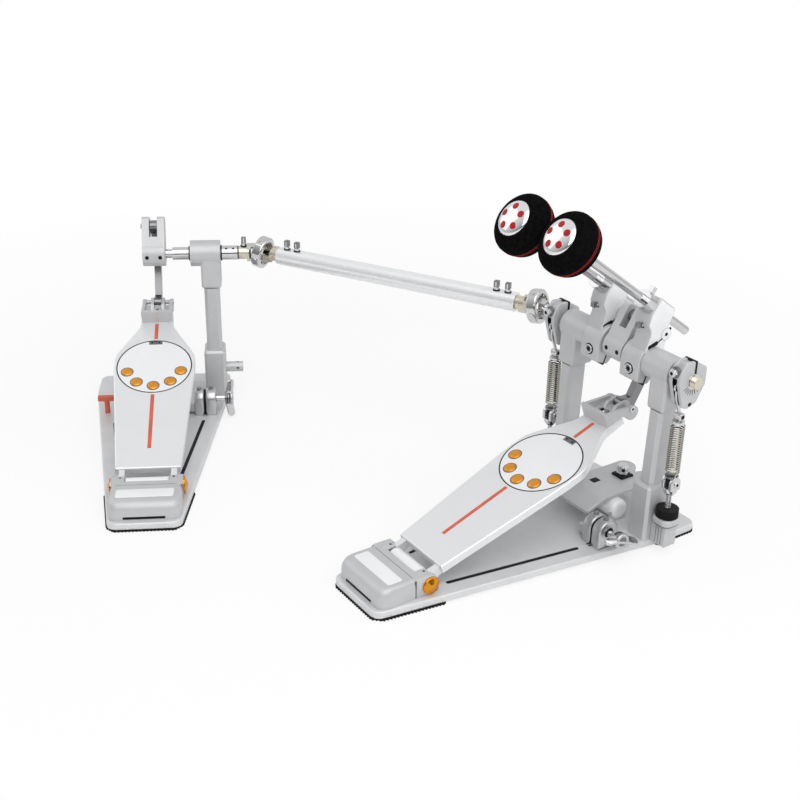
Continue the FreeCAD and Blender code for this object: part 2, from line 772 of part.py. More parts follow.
def build_cam(pedal):
    """Drive cam: a hub with a forked arm that takes the head of the link."""
    piece = new_body(pedal + "_cam", pedal)
    lean = "atan(cam_pivot_y / cam_pivot_rise)"
    hub = new_sketch(piece, "YZ", ("0", "axle_height", "0"))
    pad(piece, circle(hub, "0", "0", "cam_radius"), "cam_width", "Symmetric")
    arm = new_sketch(piece, "YZ", ("0", "axle_height", "0"), ("z", "-" + lean))
    polygon(arm, [("-cam_radius * 0.9", "0"), ("cam_radius * 0.9", "0"), ("cam_arm_half", "cam_tip"),
                  ("-cam_arm_half", "cam_tip")])
    pad(piece, arm, "cam_width", "Symmetric")
    low = size("axle_height") + size("cam_notch_floor")
    across = straight_along(AXES["x"])
    fillet(piece, "cam_arm_half / 2", lambda edge: across(edge) and edge.BoundBox.ZMin > low)
    notch = new_sketch(piece, "YZ", ("0", "axle_height", "0"), ("z", "-" + lean))
    rectangle(notch, "-3 * cam_radius", "cam_notch_floor", "3 * cam_radius", "2 * cam_tip")
    cut = add(piece, "Pocket", notch)
    cut.SideType = "Symmetric"
    bind(cut, "Length", "cam_notch")
    nub_place = ("cam_pivot_y", "axle_height + cam_pivot_rise", "-cam_width / 2 - cam_nub_out")
    nub = new_sketch(piece, "YZ", nub_place)
    pad(piece, circle(nub, "0", "0", "cam_nub_radius"), "cam_nub_out")
    bore(piece, "axle_radius")
    screws = new_sketch(piece, "XZ", ("0", "axle_height", "cam_radius"))
    circle(screws, "-cam_screw_x", "0", "cam_screw_radius")
    circle(screws, "cam_screw_x", "0", "cam_screw_radius")
    pocket(piece, screws, "cam_screw_depth")


def rod_point(along, off):
    """Point in the rod's plane, from the axle: so far along the rod and so far off towards it."""
    return ("(%s) * cos(rod_lean) - (%s) * sin(rod_lean)" % (off, along),
            "(%s) * sin(rod_lean) + (%s) * cos(rod_lean)" % (off, along))


def middle(low, high):
    """Formula for the point half way between two others."""
    return "(%s + %s) / 2" % (low, high)


def rod_sketch(piece, across, along="0"):
    """Sketch square to the beater rod, at a distance along it from the foot of its perpendicular."""
    from_axle_y, from_axle_z = rod_point(along, "rod_offset")
    return new_sketch(piece, "XY", (across, from_axle_y, "axle_height + " + from_axle_z), ("x", "rod_lean"))


def rod_profile(piece, across):
    """Sketch that holds the beater rod as its upright axis."""
    from_axle_y, from_axle_z = rod_point("0", "rod_offset")
    return new_sketch(piece, "YZ", (from_axle_y, "axle_height + " + from_axle_z, across), ("z", "rod_lean"))


def beater_x(sign):
    """Where a beater's rod stands along the axle."""
    return sign + middle("holder_arm_inner", "holder_outer")


def build_holder(side, sign):
    """Beater holder: a split clamp ring on the axle with its screw, and an arm whose slanted block takes
    the rod and its key bolt."""
    piece = new_body(side + "_holder")
    ring_x = sign + middle("holder_inner", "holder_outer")
    arm_x = beater_x(sign)
    ring = new_sketch(piece, "YZ", ("0", "axle_height", ring_x))
    pad(piece, circle(ring, "0", "0", "holder_ring"), "holder_outer - holder_inner", "Symmetric")
    low = "rod_offset - block_half"
    high = "rod_offset + block_half"
    arm = new_sketch(piece, "YZ", ("0", "axle_height", arm_x))
    polygon(arm, [("-0.8 * holder_ring", "0.5 * holder_ring"), ("-0.3 * holder_ring", "1.8 * holder_ring"),
                  ("-0.58 * holder_ring", "2.3 * holder_ring"), rod_point("block_head", low),
                  rod_point("block_head", high), rod_point("block_tail", high),
                  ("1.1 * holder_ring", "2 * holder_ring"), ("0.9 * holder_ring", "0.4 * holder_ring")])
    pad(piece, arm, "holder_outer - holder_arm_inner", "Symmetric")
    ear = new_sketch(piece, "YZ", ("0", "axle_height", ring_x))
    polygon(ear, [("-holder_ring", "0"), ("-holder_ring", "-0.8 * holder_ear"),
                  ("-0.1 * holder_ear", "-holder_ear"), ("0.3 * holder_ear", "-0.6 * holder_ear"),
                  ("0", "0")])
    pad(piece, ear, "holder_outer - holder_inner", "Symmetric")
    bore(piece, "axle_radius")
    gap = new_sketch(piece, "YZ", ("0", "axle_height", "0"), ("z", "-holder_split_turn"))
    pocket(piece, rectangle(gap, "-split / 2", "-2 * holder_ear", "split / 2", "0"))
    pocket(piece, circle(rod_sketch(piece, arm_x), "0", "0", "rod_radius + running_fit"))
    front = new_sketch(piece, "XZ", (arm_x, "axle_height + 2.2 * holder_ring", "0.4 * holder_ring"))
    pad(piece, square(front, "key_head"), "key_long")
    screw = new_sketch(piece, "XZ", (ring_x, "axle_height - holder_ear / 3", "0.9 * holder_ring"))
    pad(piece, circle(screw, "0", "0", "0.7 * key_head"), "key_long / 2")


def build_holder_collar(side, sign):
    """Bright collar on the rod above the holder, with its square-headed key bolt."""
    piece = new_body(side + "_collar")
    arm_x = beater_x(sign)
    sketch = rod_sketch(piece, arm_x, "block_head")
    pad(piece, circle(sketch, "0", "0", "collar_radius"), "collar_long")
    pocket(piece, circle(rod_sketch(piece, arm_x), "0", "0", "rod_radius + running_fit"))
    from_y, from_z = rod_point("block_head + collar_long / 2", "rod_offset + 0.9 * collar_radius")
    head = new_sketch(piece, "XY", (arm_x, from_y, "axle_height + " + from_z), ("x", "rod_lean - 90"))
    pad(piece, square(head, "key_head"), "key_long")


def square(sketch, width):
    """Square about the sketch's origin."""
    half = "(%s) / 2" % width
    return rectangle(sketch, "-" + half, "-" + half, half, half)


def build_beater(side, sign):
    """Beater: steel rod, felt head and its domed cap, all round about the rod."""
    arm_x = beater_x(sign)
    rod = new_body(side + "_beater_rod")
    length = "rod_tail + felt_low + felt_long / 2"
    pad(rod, circle(rod_sketch(rod, arm_x, "-rod_tail"), "0", "0", "rod_radius"), length)
    felt = new_body(side + "_beater_felt")
    top = "felt_low + felt_long"
    outline = [("rod_radius", "felt_low"), ("felt_low_radius", "felt_low"),
               ("felt_radius", "felt_low + felt_shoulder"), ("felt_radius", top + " - 2 * felt_shoulder"),
               ("felt_top_radius", top), ("0", top), ("0", "felt_low + felt_long / 2"),
               ("rod_radius", "felt_low + felt_long / 2")]
    revolve(felt, polygon(rod_profile(felt, arm_x), outline))
    cap = new_body(side + "_beater_cap")
    crown = top + " + beater_cap_high"
    dome = [("0", top), ("beater_cap_radius", top),
            ("beater_cap_radius - beater_cap_round", top + " + beater_cap_high / 2"),
            ("beater_cap_radius / 2", crown), ("0", crown)]
    revolve(cap, polygon(rod_profile(cap, arm_x), dome))


def build_posts(label, frame, signs):
    """Upright columns in their foot sockets."""
    piece = new_body(label, frame)
    floor = "sole_thick + base_thick"
    for sign in signs:
        foot = new_sketch(piece, "XY", (sign + "post_x", "0", floor))
        rectangle(foot, "-socket_width / 2", "-socket_front", "socket_width / 2", "socket_back")
        pad(piece, foot, "socket_top - (%s)" % floor)
    top = size("socket_top")
    tall = size("socket_front")
    chamfer(piece, "socket_edge",
            lambda edge: edge.BoundBox.ZMin > top - 0.01 or edge.BoundBox.ZLength > tall)
    for sign in signs:
        foot_place = (sign + "post_x", "post_base_y", "column_start")
        column = new_sketch(piece, "XY", foot_place, ("x", "-post_lean"))
        half = "column_width / 2"
        deep = "column_depth / 2"
        cut = "column_chamfer"
        polygon(column, [("-%s + %s" % (half, cut), "-" + deep), ("%s - %s" % (half, cut), "-" + deep),
                         (half, "-%s + %s" % (deep, cut)), (half, "%s - %s" % (deep, cut)),
                         ("%s - %s" % (half, cut), deep), ("-%s + %s" % (half, cut), deep),
                         ("-" + half, "%s - %s" % (deep, cut)), ("-" + half, "-%s + %s" % (deep, cut))])
        pad(piece, column, "(housing_foot + column_chamfer - column_start) / cos(post_lean)")
    crop = new_sketch(piece, "XY", ("0", "0", "housing_foot"))
    rectangle(crop, "-base_wide_half", "-base_wide_half", "base_wide_half", "base_wide_half")
    pocket(piece, crop, "2 * column_chamfer + column_depth", backward=True)
    return piece


def build_housings(label, frame, signs):
    """Bearing housings: a barrel round the axle on a block that caps the column."""
    piece = new_body(label, frame)
    for sign in signs:
        block = new_sketch(piece, "XY", (sign + "post_x", "0", "housing_foot"))
        rectangle(block, "-housing_width / 2", "-housing_depth / 2", "housing_width / 2", "housing_depth / 2")
        pad(piece, block, "axle_height - housing_foot")
    low = size("axle_height") - size("housing_drop")
    tall = size("housing_width")
    fillet(piece, "housing_edge",
           lambda edge: edge.BoundBox.ZLength > tall or edge.BoundBox.ZMax < low + 0.01)
    for sign in signs:
        middle_x = sign + middle("housing_inner", "housing_outer")
        barrel = new_sketch(piece, "YZ", ("0", "axle_height", middle_x))
        pad(piece, circle(barrel, "0", "0", "housing_radius"), "housing_outer - housing_inner", "Symmetric")
    bore(piece, "axle_radius + running_fit")


def build_spring_cam(side, sign):
    """Split cam on the axle's end with a groove and a cross pin for the spring's hook."""
    piece = new_body(side + "_spring_cam")
    at_x = sign + "spring_cam_x"
    plate = new_sketch(piece, "YZ", ("0", "axle_height", at_x))
    polygon(plate, [("-0.55 * spring_cam_front", "spring_cam_top"),
                    ("0.1 * spring_cam_back", "0.95 * spring_cam_top"),
                    ("spring_cam_back", "0.55 * spring_cam_top"),
                    ("spring_cam_back", "-0.2 * spring_cam_low"),
                    ("0.4 * spring_cam_back", "-0.85 * spring_cam_low"),
                    ("-0.25 * spring_cam_front", "-spring_cam_low"),
                    ("-0.6 * spring_cam_front", "-0.9 * spring_cam_low"),
                    ("-spring_cam_front", "0"), ("-spring_cam_front", "0.5 * spring_cam_top")])
    pad(piece, plate, "spring_cam_width", "Symmetric")
    fillet(piece, "spring_cam_width / 4", straight_along(AXES["x"]))
    groove = new_sketch(piece, "YZ", ("0", "axle_height", at_x))
    inner_y = "hook_y + hook_eye + side_gap"
    front_y = "-2 * spring_cam_front"
    back_y = "1.4 * spring_cam_back"
    polygon(groove, [(front_y, "groove_top"), (inner_y, "groove_top"), (inner_y, "-groove_low"),
                     (back_y, "-0.84 * spring_cam_low"), (back_y, "-2 * spring_cam_low"),
                     (front_y, "-2 * spring_cam_low")])
    cut = add(piece, "Pocket", groove)
    cut.SideType = "Symmetric"
    bind(cut, "Length", "groove_width")
    pin = new_sketch(piece, "YZ", ("hook_y", "axle_height - hook_drop", at_x))
    pad(piece, circle(pin, "0", "0", "hook_pin_radius"), "groove_width + hook_pin_radius", "Symmetric")
    bore(piece, "axle_radius")
    gap = new_sketch(piece, "YZ", ("0", "axle_height", "0"))
    pocket(piece, rectangle(gap, "0", "0", "split", "2 * spring_cam_top"))


def build_hook(side, sign):
    """Hook plate that hangs on the cam's cross pin and carries the spring's upper seat."""
    piece = new_body(side + "_hook")
    at_x = sign + "spring_cam_x"
    plate = new_sketch(piece, "YZ", ("0", "0", at_x))
    pin_z = "axle_height - hook_drop"
    seat_z = "spring_top + spring_disc_thick"
    polygon(plate, [("hook_y - hook_eye", pin_z), ("spring_y - hook_eye", seat_z),
                    ("spring_y + hook_eye", seat_z), ("hook_y + hook_eye", pin_z)])
    pad(piece, plate, "hook_width", "Symmetric")
    eye = circle(new_sketch(piece, "YZ", ("0", "0", at_x)), "hook_y", pin_z, "hook_eye")
    pad(piece, eye, "hook_width", "Symmetric")
    disc = new_sketch(piece, "XY", (at_x, "spring_y", "spring_top"))
    pad(piece, circle(disc, "0", "0", "spring_disc_radius"), "spring_disc_thick")
    bore(piece, "hook_pin_radius + running_fit", "hook_y", pin_z)


def build_spring_anchors():
    """Lower spring seats: a clevis block on a threaded rod that stands in a bracket on each post's foot."""
    piece = new_body("spring_anchors")
    floor = "(sole_thick + base_thick)"
    block_low = "(spring_low - spring_disc_thick - anchor_block_high)"
    out = "(spring_cam_x - post_x - socket_width / 2)"
    for sign in ("", "-"):
        at_x = sign + "spring_cam_x"
        disc = new_sketch(piece, "XY", (at_x, "spring_y", "spring_low - spring_disc_thick"))
        pad(piece, circle(disc, "0", "0", "spring_disc_radius"), "spring_disc_thick")
        block = new_sketch(piece, "XY", (at_x, "spring_y", block_low))
        pad(piece, square(block, "2 * anchor_block"), "anchor_block_high")
        rod = new_sketch(piece, "XY", (at_x, "spring_y", floor))
        pad(piece, circle(rod, "0", "0", "anchor_rod_radius"), "%s + anchor_block - %s" % (block_low, floor))
        seat = new_sketch(piece, "XY", (at_x, "spring_y", "knob_low - side_gap - seat_thick"))
        pad(piece, circle(seat, "0", "0", "seat_half"), "seat_thick")
        inner = "%s(post_x + socket_width / 2)" % sign
        bracket = new_sketch(piece, "XY", (middle(inner, at_x), "spring_y", floor))
        rectangle(bracket, "-%s / 2" % out, "-0.8 * seat_half", "%s / 2" % out, "0.8 * seat_half")
        pad(piece, bracket, "knob_low - side_gap - " + floor)


def build_knob(side, sign):
    """Knurled tension knob under the spring."""
    piece = new_body(side + "_knob")
    at_x = sign + "spring_cam_x"
    disc = new_sketch(piece, "XY", (at_x, "spring_y", "knob_low"))
    pad(piece, circle(disc, "0", "0", "knob_radius"), "knob_high")
    grooves = new_sketch(piece, "XY", (at_x, "spring_y", "knob_low"))
    for step in range(int(size("knob_grooves"))):
        angle = "%d * 360 / knob_grooves" % step
        circle(grooves, "knob_radius * cos(%s)" % angle, "knob_radius * sin(%s)" % angle, "knob_groove")
    pocket(piece, grooves)
    hole = new_sketch(piece, "XY", (at_x, "spring_y", "knob_low"))
    pocket(piece, circle(hole, "0", "0", "anchor_rod_radius + running_fit"))


def biarc(start, start_way, end, end_way):
    """Two tangent arcs between two points with given directions."""
    chord = end.sub(start)
    ways = start_way.add(end_way)
    turn = 2 * (1 - start_way.dot(end_way))
    reach = chord.dot(ways)
    tangent = (math.sqrt(reach ** 2 + turn * chord.dot(chord)) - reach) / turn
    first_corner = start.add(start_way * tangent)
    second_corner = end.sub(end_way * tangent)
    join = (first_corner + second_corner) * 0.5
    return [arc_by_corner(start, first_corner, join), arc_by_corner(join, second_corner, end)]


def arc_by_corner(start, corner, end):
    """Arc that touches both legs of a corner at their ends."""
    centre = (start + end) * 0.5
    half = end.distanceToPoint(start) / 2
    half_turn = math.acos(half / corner.distanceToPoint(start))
    rise = corner.sub(centre).normalize() * (half * math.tan(half_turn / 2))
    return Part.Arc(start, centre.add(rise), end).toShape()


def spring_path(centre_x, centre_y):
    """Wire route: up from the lower seat, round the coil and straight up into the upper seat."""
    wire = size("spring_wire")
    bend = size("spring_bend")
    radius = size("spring_radius")
    low = size("spring_low")
    top = size("axle_height") - size("spring_drop")
    coil_low = low + wire + bend
    coil_high = top - wire - bend
    quarters = 4 * int((coil_high - coil_low) / size("spring_pitch"))
    rise = (coil_high - coil_low) / quarters
    slant = math.atan(rise / (radius * math.pi / 2))
    up = FreeCAD.Vector(0, 0, 1)

    def station(quarter):
        angle = quarter * math.pi / 2
        spot = FreeCAD.Vector(centre_x + radius * math.cos(angle), centre_y + radius * math.sin(angle),
                              coil_low + rise * quarter)
        flat = math.cos(slant)
        way = FreeCAD.Vector(-math.sin(angle) * flat, math.cos(angle) * flat, math.sin(slant))
        return spot, way

    first, first_way = station(0)
    last, last_way = station(quarters)
    foot = first.sub(FreeCAD.Vector(first_way.x, first_way.y, 0) * bend)
    foot.z = low + wire
    head = last.add(FreeCAD.Vector(last_way.x, last_way.y, 0) * bend)
    head.z = top - wire
    edges = [Part.LineSegment(foot.sub(up * wire), foot).toShape()]
    edges += biarc(foot, up, first, first_way)
    for quarter in range(quarters):
        edges += biarc(*station(quarter), *station(quarter + 1))
    edges += biarc(last, last_way, head, up)
    edges.append(Part.LineSegment(head, head.add(up * wire)).toShape())
    return Part.Wire(edges)


def least_gap(path):
    """Least clear distance between turns of the wire, measured on points along it."""
    spots = path.discretize(Distance=size("spring_wire") / 2)
    skip = int(4 * size("spring_radius") / size("spring_wire"))
    nearest = min(a.distanceToPoint(b) for row, a in enumerate(spots) for b in spots[row + skip:])
    return nearest - size("spring_wire")


def build_spring(side, sign):
    """Return spring: one unbroken round wire."""
    path = spring_path(sign * size("spring_cam_x"), size("spring_y"))
    start = path.Edges[0].Vertexes[0].Point
    outline = Part.Wire([Part.Circle(start, AXES["z"], size("spring_wire") / 2).toShape()])
    shape = path.makePipeShell([outline], True, False)
    piece = doc.addObject("Part::Feature", side + "_spring")
    piece.Label = side + "_spring"
    piece.Shape = shape
    piece.Placement = FreeCAD.Placement()
    nodes[piece.Label] = piece
    print(piece.Label, "least gap %.2f mm" % least_gap(path))


# Half turns of the three shafts about the middle of their stroke. The forks of the two axles
# stand upright there, so each shaft turns at a nearly steady rate with the next.
SLAVE_TURN = "(axle_stroke / 2)"
SHAFT_TURN = "atan(tan(axle_stroke / 2) * cos(slave_yaw - tube_yaw))"
LEFT_TURN = "atan(tan(axle_stroke / 2) * cos(slave_yaw - tube_yaw) / cos(tube_yaw))"


def build_axles():
    """Right axle with its bright stub, the left axle with its joint yoke, and the second pedal's axle."""
    right = new_body("main_axle")
    drum(right, "axle_radius", "-cam_width / 2 - side_gap", "cam_width / 2 + side_gap + stub_end")
    left = new_body("left_axle")
    inner = "(cam_width / 2 + 2 * side_gap)"
    drum(left, "axle_radius", "-main_joint_x + bridge_far", "main_joint_x - bridge_far - " + inner)
    build_yoke(left, "-main_joint_x", 1, LEFT_TURN, "y", "stem_end")
    axle = new_body("slave_axle", "slave")
    outer = "(cam_width / 2 + side_gap)"
    drum(axle, "axle_radius", "-" + outer, outer + " + slave_joint_x - stem_end")
    drum(axle, "slave_collar_radius", "slave_collar_start", "slave_collar_end - slave_collar_start")
    drum(axle, "slave_sleeve_radius", "slave_sleeve_start", "slave_sleeve_end - slave_sleeve_start")
    build_yoke(axle, "slave_joint_x", -1, SLAVE_TURN, "y", "stem_end")


def build_yoke(piece, centre_x, way, turn, pivots, stem_end):
    """Fork of a universal joint: stem, bridge and two prongs. It stands on the given side of the centre."""
    frame = ("z", turn)

    def level(distance):
        return "%s + (%s)" % (centre_x, distance if way > 0 else "-(%s)" % distance)

    def block(low, high, near, far):
        sketch = new_sketch(piece, "YZ", ("0", "axle_height", level(middle(near, far))), frame)
        half = "prong_width / 2"
        if pivots == "y":
            rectangle(sketch, "-" + half, low, half, high)
        else:
            rectangle(sketch, low, "-" + half, high, half)
        pad(piece, sketch, "(%s) - (%s)" % (far, near), "Symmetric")

    stem = new_sketch(piece, "YZ", ("0", "axle_height", level(middle("bridge_near", stem_end))))
    pad(piece, circle(stem, "0", "0", "stem_radius"), "%s - bridge_near" % stem_end, "Symmetric")
    block("-prong_outer", "prong_outer", "bridge_near", "bridge_far")
    block("prong_inner", "prong_outer", "-prong_tip", "bridge_far")
    block("-prong_outer", "-prong_inner", "-prong_tip", "bridge_far")
    plane = "XZ" if pivots == "x" else "XY"
    pocket(piece, pivot_hole(piece, plane, centre_x, turn))


def pivot_hole(piece, plane, centre_x, turn):
    """Circle round the pivot axis of a fork, wider than the pivot by its play."""
    if plane == "XY":
        sketch = new_sketch(piece, "XY", (centre_x, "0", "axle_height"), ("x", turn))
    else:
        sketch = new_sketch(piece, "XZ", (centre_x, "axle_height", "0"), ("x", turn))
    return circle(sketch, "0", "0", "ring_pin_radius + pin_play")


def build_tube():
    """Drive tube with its key bolts, the fixed fork at the main end and the sliding shaft at the other."""
    stem_end = "(tube_start - side_gap)"
    tube = new_body("drive_tube", "tube")
    drum(tube, "tube_radius", "-joint_span + tube_start", "joint_span - 2 * tube_start")
    flat = new_sketch(tube, "XY", ("0", "0", "axle_height + tube_flat"))
    rectangle(flat, "-joint_span", "-tube_radius", "0", "tube_radius")
    pocket(tube, flat, "tube_radius", backward=True)
    for start in ("-tube_start - tube_bolt_first", "-joint_span + tube_start + tube_bolt_first"):
        way = "-" if start.startswith("-tube") else "+"
        for step in range(2):
            at_x = "%s %s %d * tube_bolt_pitch" % (start, way, step)
            neck = new_sketch(tube, "XY", (at_x, "0", "axle_height + shaft_radius + 2 * shaft_gap"))
            neck_long = "tube_flat + tube_bolt_high - shaft_radius - 2 * shaft_gap"
            pad(tube, circle(neck, "0", "0", "tube_bolt_neck"), neck_long)
            head = new_sketch(tube, "XY", (at_x, "0", "axle_height + tube_flat + tube_bolt_high"))
            pad(tube, square(head, "key_head"), "key_long")
    hollow = new_sketch(tube, "YZ", ("0", "axle_height", "-joint_span"))
    pocket(tube, circle(hollow, "0", "0", "shaft_radius + shaft_gap"), "shaft_bore", backward=True)
    socket = new_sketch(tube, "YZ", ("0", "axle_height", "0"))
    pocket(tube, circle(socket, "0", "0", "shaft_radius"), "tube_start + 2 * tube_radius")
    fork = new_body("tube_yoke", "tube")
    build_yoke(fork, "0", -1, SHAFT_TURN, "x", stem_end)
    drum(fork, "shaft_radius", "-tube_start - 2 * tube_radius", "2 * tube_radius + side_gap")
    shaft = new_body("slave_shaft", "tube")
    build_yoke(shaft, "-joint_span", 1, SHAFT_TURN, "x", stem_end)
    drum(shaft, "shaft_radius", "-joint_span + bridge_near", "shaft_reach - bridge_near")


def ring_rest(bend):
    """Turn of a joint ring with the shaft and about the shaft's pivots, with the pedals up."""
    slave_bend = math.radians(size("slave_yaw") - size("tube_yaw"))
    roll = math.atan(math.tan(math.radians(size("axle_stroke") / 2)) * math.cos(slave_bend))
    tilt = math.atan(math.sin(roll) * math.tan(bend))
    return roll, tilt


def build_ring(label, centre_x, bend):
    """Joint ring with four pivot screws, tilted about the tube's pivots as it stands at rest."""
    piece = doc.addObject("PartDesign::Body", label)
    piece.Label = label
    nodes[label] = piece
    hoop = new_sketch(piece, "YZ")
    circle(hoop, "0", "0", "ring_radius")
    circle(hoop, "0", "0", "ring_bore")
    pad(piece, hoop, "ring_width", "Symmetric")
    fillet(piece, "ring_width / 6", lambda edge: abs(edge.BoundBox.YLength / 2 - size("ring_radius")) < 0.01)
    for plane in ("XY", "XZ"):
        for sign in ("", "-"):
            pin = new_sketch(piece, plane, ("0", "0", "%s(ring_pin_end + ring_radius) / 2" % sign))
            pad(piece, circle(pin, "0", "0", "ring_pin_radius"), "ring_radius - ring_pin_end", "Symmetric")
            screw = new_sketch(piece, plane, ("0", "0", "%s(ring_radius + ring_bore) / 2" % sign))
            pad(piece, circle(screw, "0", "0", "ring_screw_radius"),
                "ring_radius - ring_bore + ring_screw_out", "Symmetric")
    doc.recompute()
    roll, tilt = ring_rest(bend)
    yaw = FreeCAD.Rotation(AXES["z"], size("tube_yaw"))
    rolled = yaw * FreeCAD.Rotation(AXES["x"], math.degrees(roll))
    turned = rolled * FreeCAD.Rotation(AXES["y"], math.degrees(tilt))
    centre = yaw.multVec(FreeCAD.Vector(centre_x, 0, 0))
    centre = centre.add(FreeCAD.Vector(-size("main_joint_x"), 0, size("axle_height")))
    piece.Placement = FreeCAD.Placement(centre, turned)


def build_clamp(pedal):
    """Hoop clamp: cross roller on two cheeks, rocker plate with its bolt, wedge block and wing screw."""
    block = new_body(pedal + "_clamp_block", pedal)
    floor = "sole_thick + base_thick"
    roller_long = "2 * clamp_roller_half"
    drum(block, "clamp_roller_radius", "-clamp_roller_half", roller_long, "clamp_y", "clamp_height")
    for sign in ("", "-"):
        cheek = new_sketch(block, "YZ", ("clamp_y", "0", "%s(clamp_roller_half - cheek_thick / 2)" % sign))
        rectangle(cheek, "-clamp_roller_radius", floor, "clamp_roller_radius", "clamp_height")
        pad(block, cheek, "cheek_thick", "Symmetric")
    wedge = new_sketch(block, "YZ", ("wedge_y", "0", "wedge_inner"))
    crest = "wing_height + wedge_radius"
    polygon(wedge, [("-wedge_radius", floor), ("wedge_radius", floor), ("wedge_radius", "wing_height"),
                    ("wedge_radius / 2", crest), ("-wedge_radius / 2", crest),
                    ("-wedge_radius", "wing_height")])
    pad(block, wedge, "wedge_outer - wedge_inner")
    hole = new_sketch(block, "YZ", ("wedge_y", "wing_height", "wedge_outer"))
    pocket(block, circle(hole, "0", "0", "wing_shaft_radius + running_fit"), "wedge_outer - wedge_inner")
    build_rocker(pedal)
    build_wing(pedal)


def build_rocker(pedal):
    """Bent rocker plate over the roller, with a square washer and a round-headed bolt."""
    piece = new_body(pedal + "_clamp_plate", pedal)
    low = "clamp_height + clamp_roller_radius + side_gap"
    back_y = "rocker_back"
    bend_y = "-rocker_front + rocker_drop"
    top = low + " + rocker_thick"
    side = [("-rocker_front", low + " - rocker_drop"), (bend_y, low), (back_y, low), (back_y, top),
            (bend_y + " - rocker_thick / 2", top),
            ("-rocker_front - rocker_thick / 2", top + " - rocker_drop")]
    pad(piece, polygon(new_sketch(piece, "YZ"), side), "2 * rocker_half", "Symmetric")
    lip = [(back_y + " - rocker_drop", low), (back_y + " - rocker_drop / 2", low + " - rocker_drop"),
           (back_y, low + " - rocker_drop"), (back_y, low)]
    pad(piece, polygon(new_sketch(piece, "YZ"), lip), "rocker_half", "Symmetric")
    washer = new_sketch(piece, "XY", ("0", "clamp_bolt_y", top))
    pad(piece, square(washer, "2 * clamp_washer_half"), "clamp_washer_thick")
    bolt = new_sketch(piece, "XY", ("0", "clamp_bolt_y", top + " + clamp_washer_thick"))
    pad(piece, circle(bolt, "0", "0", "clamp_bolt_radius"), "clamp_bolt_high")
    screw = new_sketch(piece, "XY", ("0", "clamp_bolt_y", "clamp_screw_low"))
    pad(piece, circle(screw, "0", "0", "clamp_screw_radius"), "%s - clamp_screw_low" % top)


def build_wing(pedal):
    """Wing screw of the clamp: shaft, hub and two blades."""
    piece = new_body(pedal + "_clamp_wing", pedal)
    shaft_start = "(wedge_outer - wedge_radius)"
    shaft_long = "wing_start + wing_width - " + shaft_start
    drum(piece, "wing_shaft_radius", shaft_start, shaft_long, "wedge_y", "wing_height")
    place = ("wedge_y", "wing_height", "wing_start")
    blades = new_sketch(piece, "YZ", place, ("z", pedal + "_wing_lean"))
    edge = "wing_blade / 2"
    pad(piece, rectangle(blades, "-wing_half", "-" + edge, "wing_half", edge), "wing_width")
    drum(piece, "wing_hub", "wing_start", "wing_width", "wedge_y", "wing_height")


def build_drum_key():
    """Drum key stowed upright on the left of the second pedal's floor plate."""
    piece = new_body("drum_key", "slave")
    floor = "sole_thick + base_thick"
    stem = new_sketch(piece, "XY", ("key_x", "key_y", floor))
    pad(piece, circle(stem, "0", "0", "key_stem_radius"), "key_rise")
    bar = new_sketch(piece, "XY", ("key_x", "key_y", floor + " + key_rise - key_bar_high"))
    rectangle(bar, "-key_bar_half", "-key_stem_radius", "key_bar_half", "key_stem_radius")
    pad(piece, bar, "key_bar_high")


def build_stay_bar(piece):
    """Round stay that stands out of the second pedal's post foot, with two cross holes near its end."""
    drum(piece, "stay_radius", "post_x", "stay_end - post_x", "stay_y", "stay_height")
    for plane, at in (("XY", ("stay_end - stay_hole_in", "stay_y", "stay_height")),
                      ("XZ", ("stay_end - stay_hole_in", "stay_height", "-stay_y"))):
        hole = add(piece, "Pocket", circle(new_sketch(piece, plane, at), "0", "0", "stay_hole_radius"))
        hole.SideType = "Symmetric"
        bind(hole, "Length", "4 * stay_radius")


def build_pedal(pedal):
    """Everything that both pedals share."""
    build_base(pedal)
    build_soles(pedal)
    build_heel_block(pedal)
    build_hinge(pedal)
    build_footboard(pedal)
    build_disc(pedal)
    build_toe_bracket(pedal)
    build_link(pedal)
    build_cam(pedal)
    build_clamp(pedal)


def build_all():
    """Both pedals, the beater mechanism of the main one and the shaft between them."""
    for pedal in ("main", "slave"):
        build_pedal(pedal)
    build_posts("main_posts", "main", ("", "-"))
    build_stay_bar(build_posts("slave_post", "slave", ("",)))
    build_housings("main_housings", "main", ("", "-"))
    build_housings("slave_housing", "slave", ("",))
    build_axles()
    build_spring_anchors()
    for side, sign in (("right", ""), ("left", "-")):
        build_holder(side, sign)
        build_holder_collar(side, sign)
        build_beater(side, sign)
        build_spring_cam(side, sign)
        build_hook(side, sign)
        build_knob(side, sign)
        build_spring(side, -1 if sign else 1)
    build_tube()
    build_ring("main_joint_ring", 0, -math.radians(size("tube_yaw")))
    build_ring("slave_joint_ring", -size("joint_span"), math.radians(size("slave_yaw") - size("tube_yaw")))
    build_drum_key()


def check_all():
    """Stops if any object failed or any sub-part's shape is unusable."""
    doc.recompute()
    for item in doc.Objects:
        if "Invalid" in item.State or "Error" in item.State:
            raise RuntimeError("%s did not build: %s" % (item.Label, item.State))
    for label, piece in nodes.items():
        if piece.Shape.isNull() or not piece.Shape.isValid() or not piece.Shape.Solids:
            raise RuntimeError("%s has no usable solid" % label)


def export_all():
    """One file per sub-part, named after it."""
    os.makedirs("parts", exist_ok=True)
    for label, piece in nodes.items():
        piece.Shape.exportStep("parts/%s.step" % label)


fill_sheet()
build_all()
check_all()
export_all()
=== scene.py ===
import json
import math
from collections import namedtuple

import bpy
import numpy as np
from bpy.props import FloatProperty, FloatVectorProperty, IntProperty, PointerProperty
from mathutils import Matrix, Vector


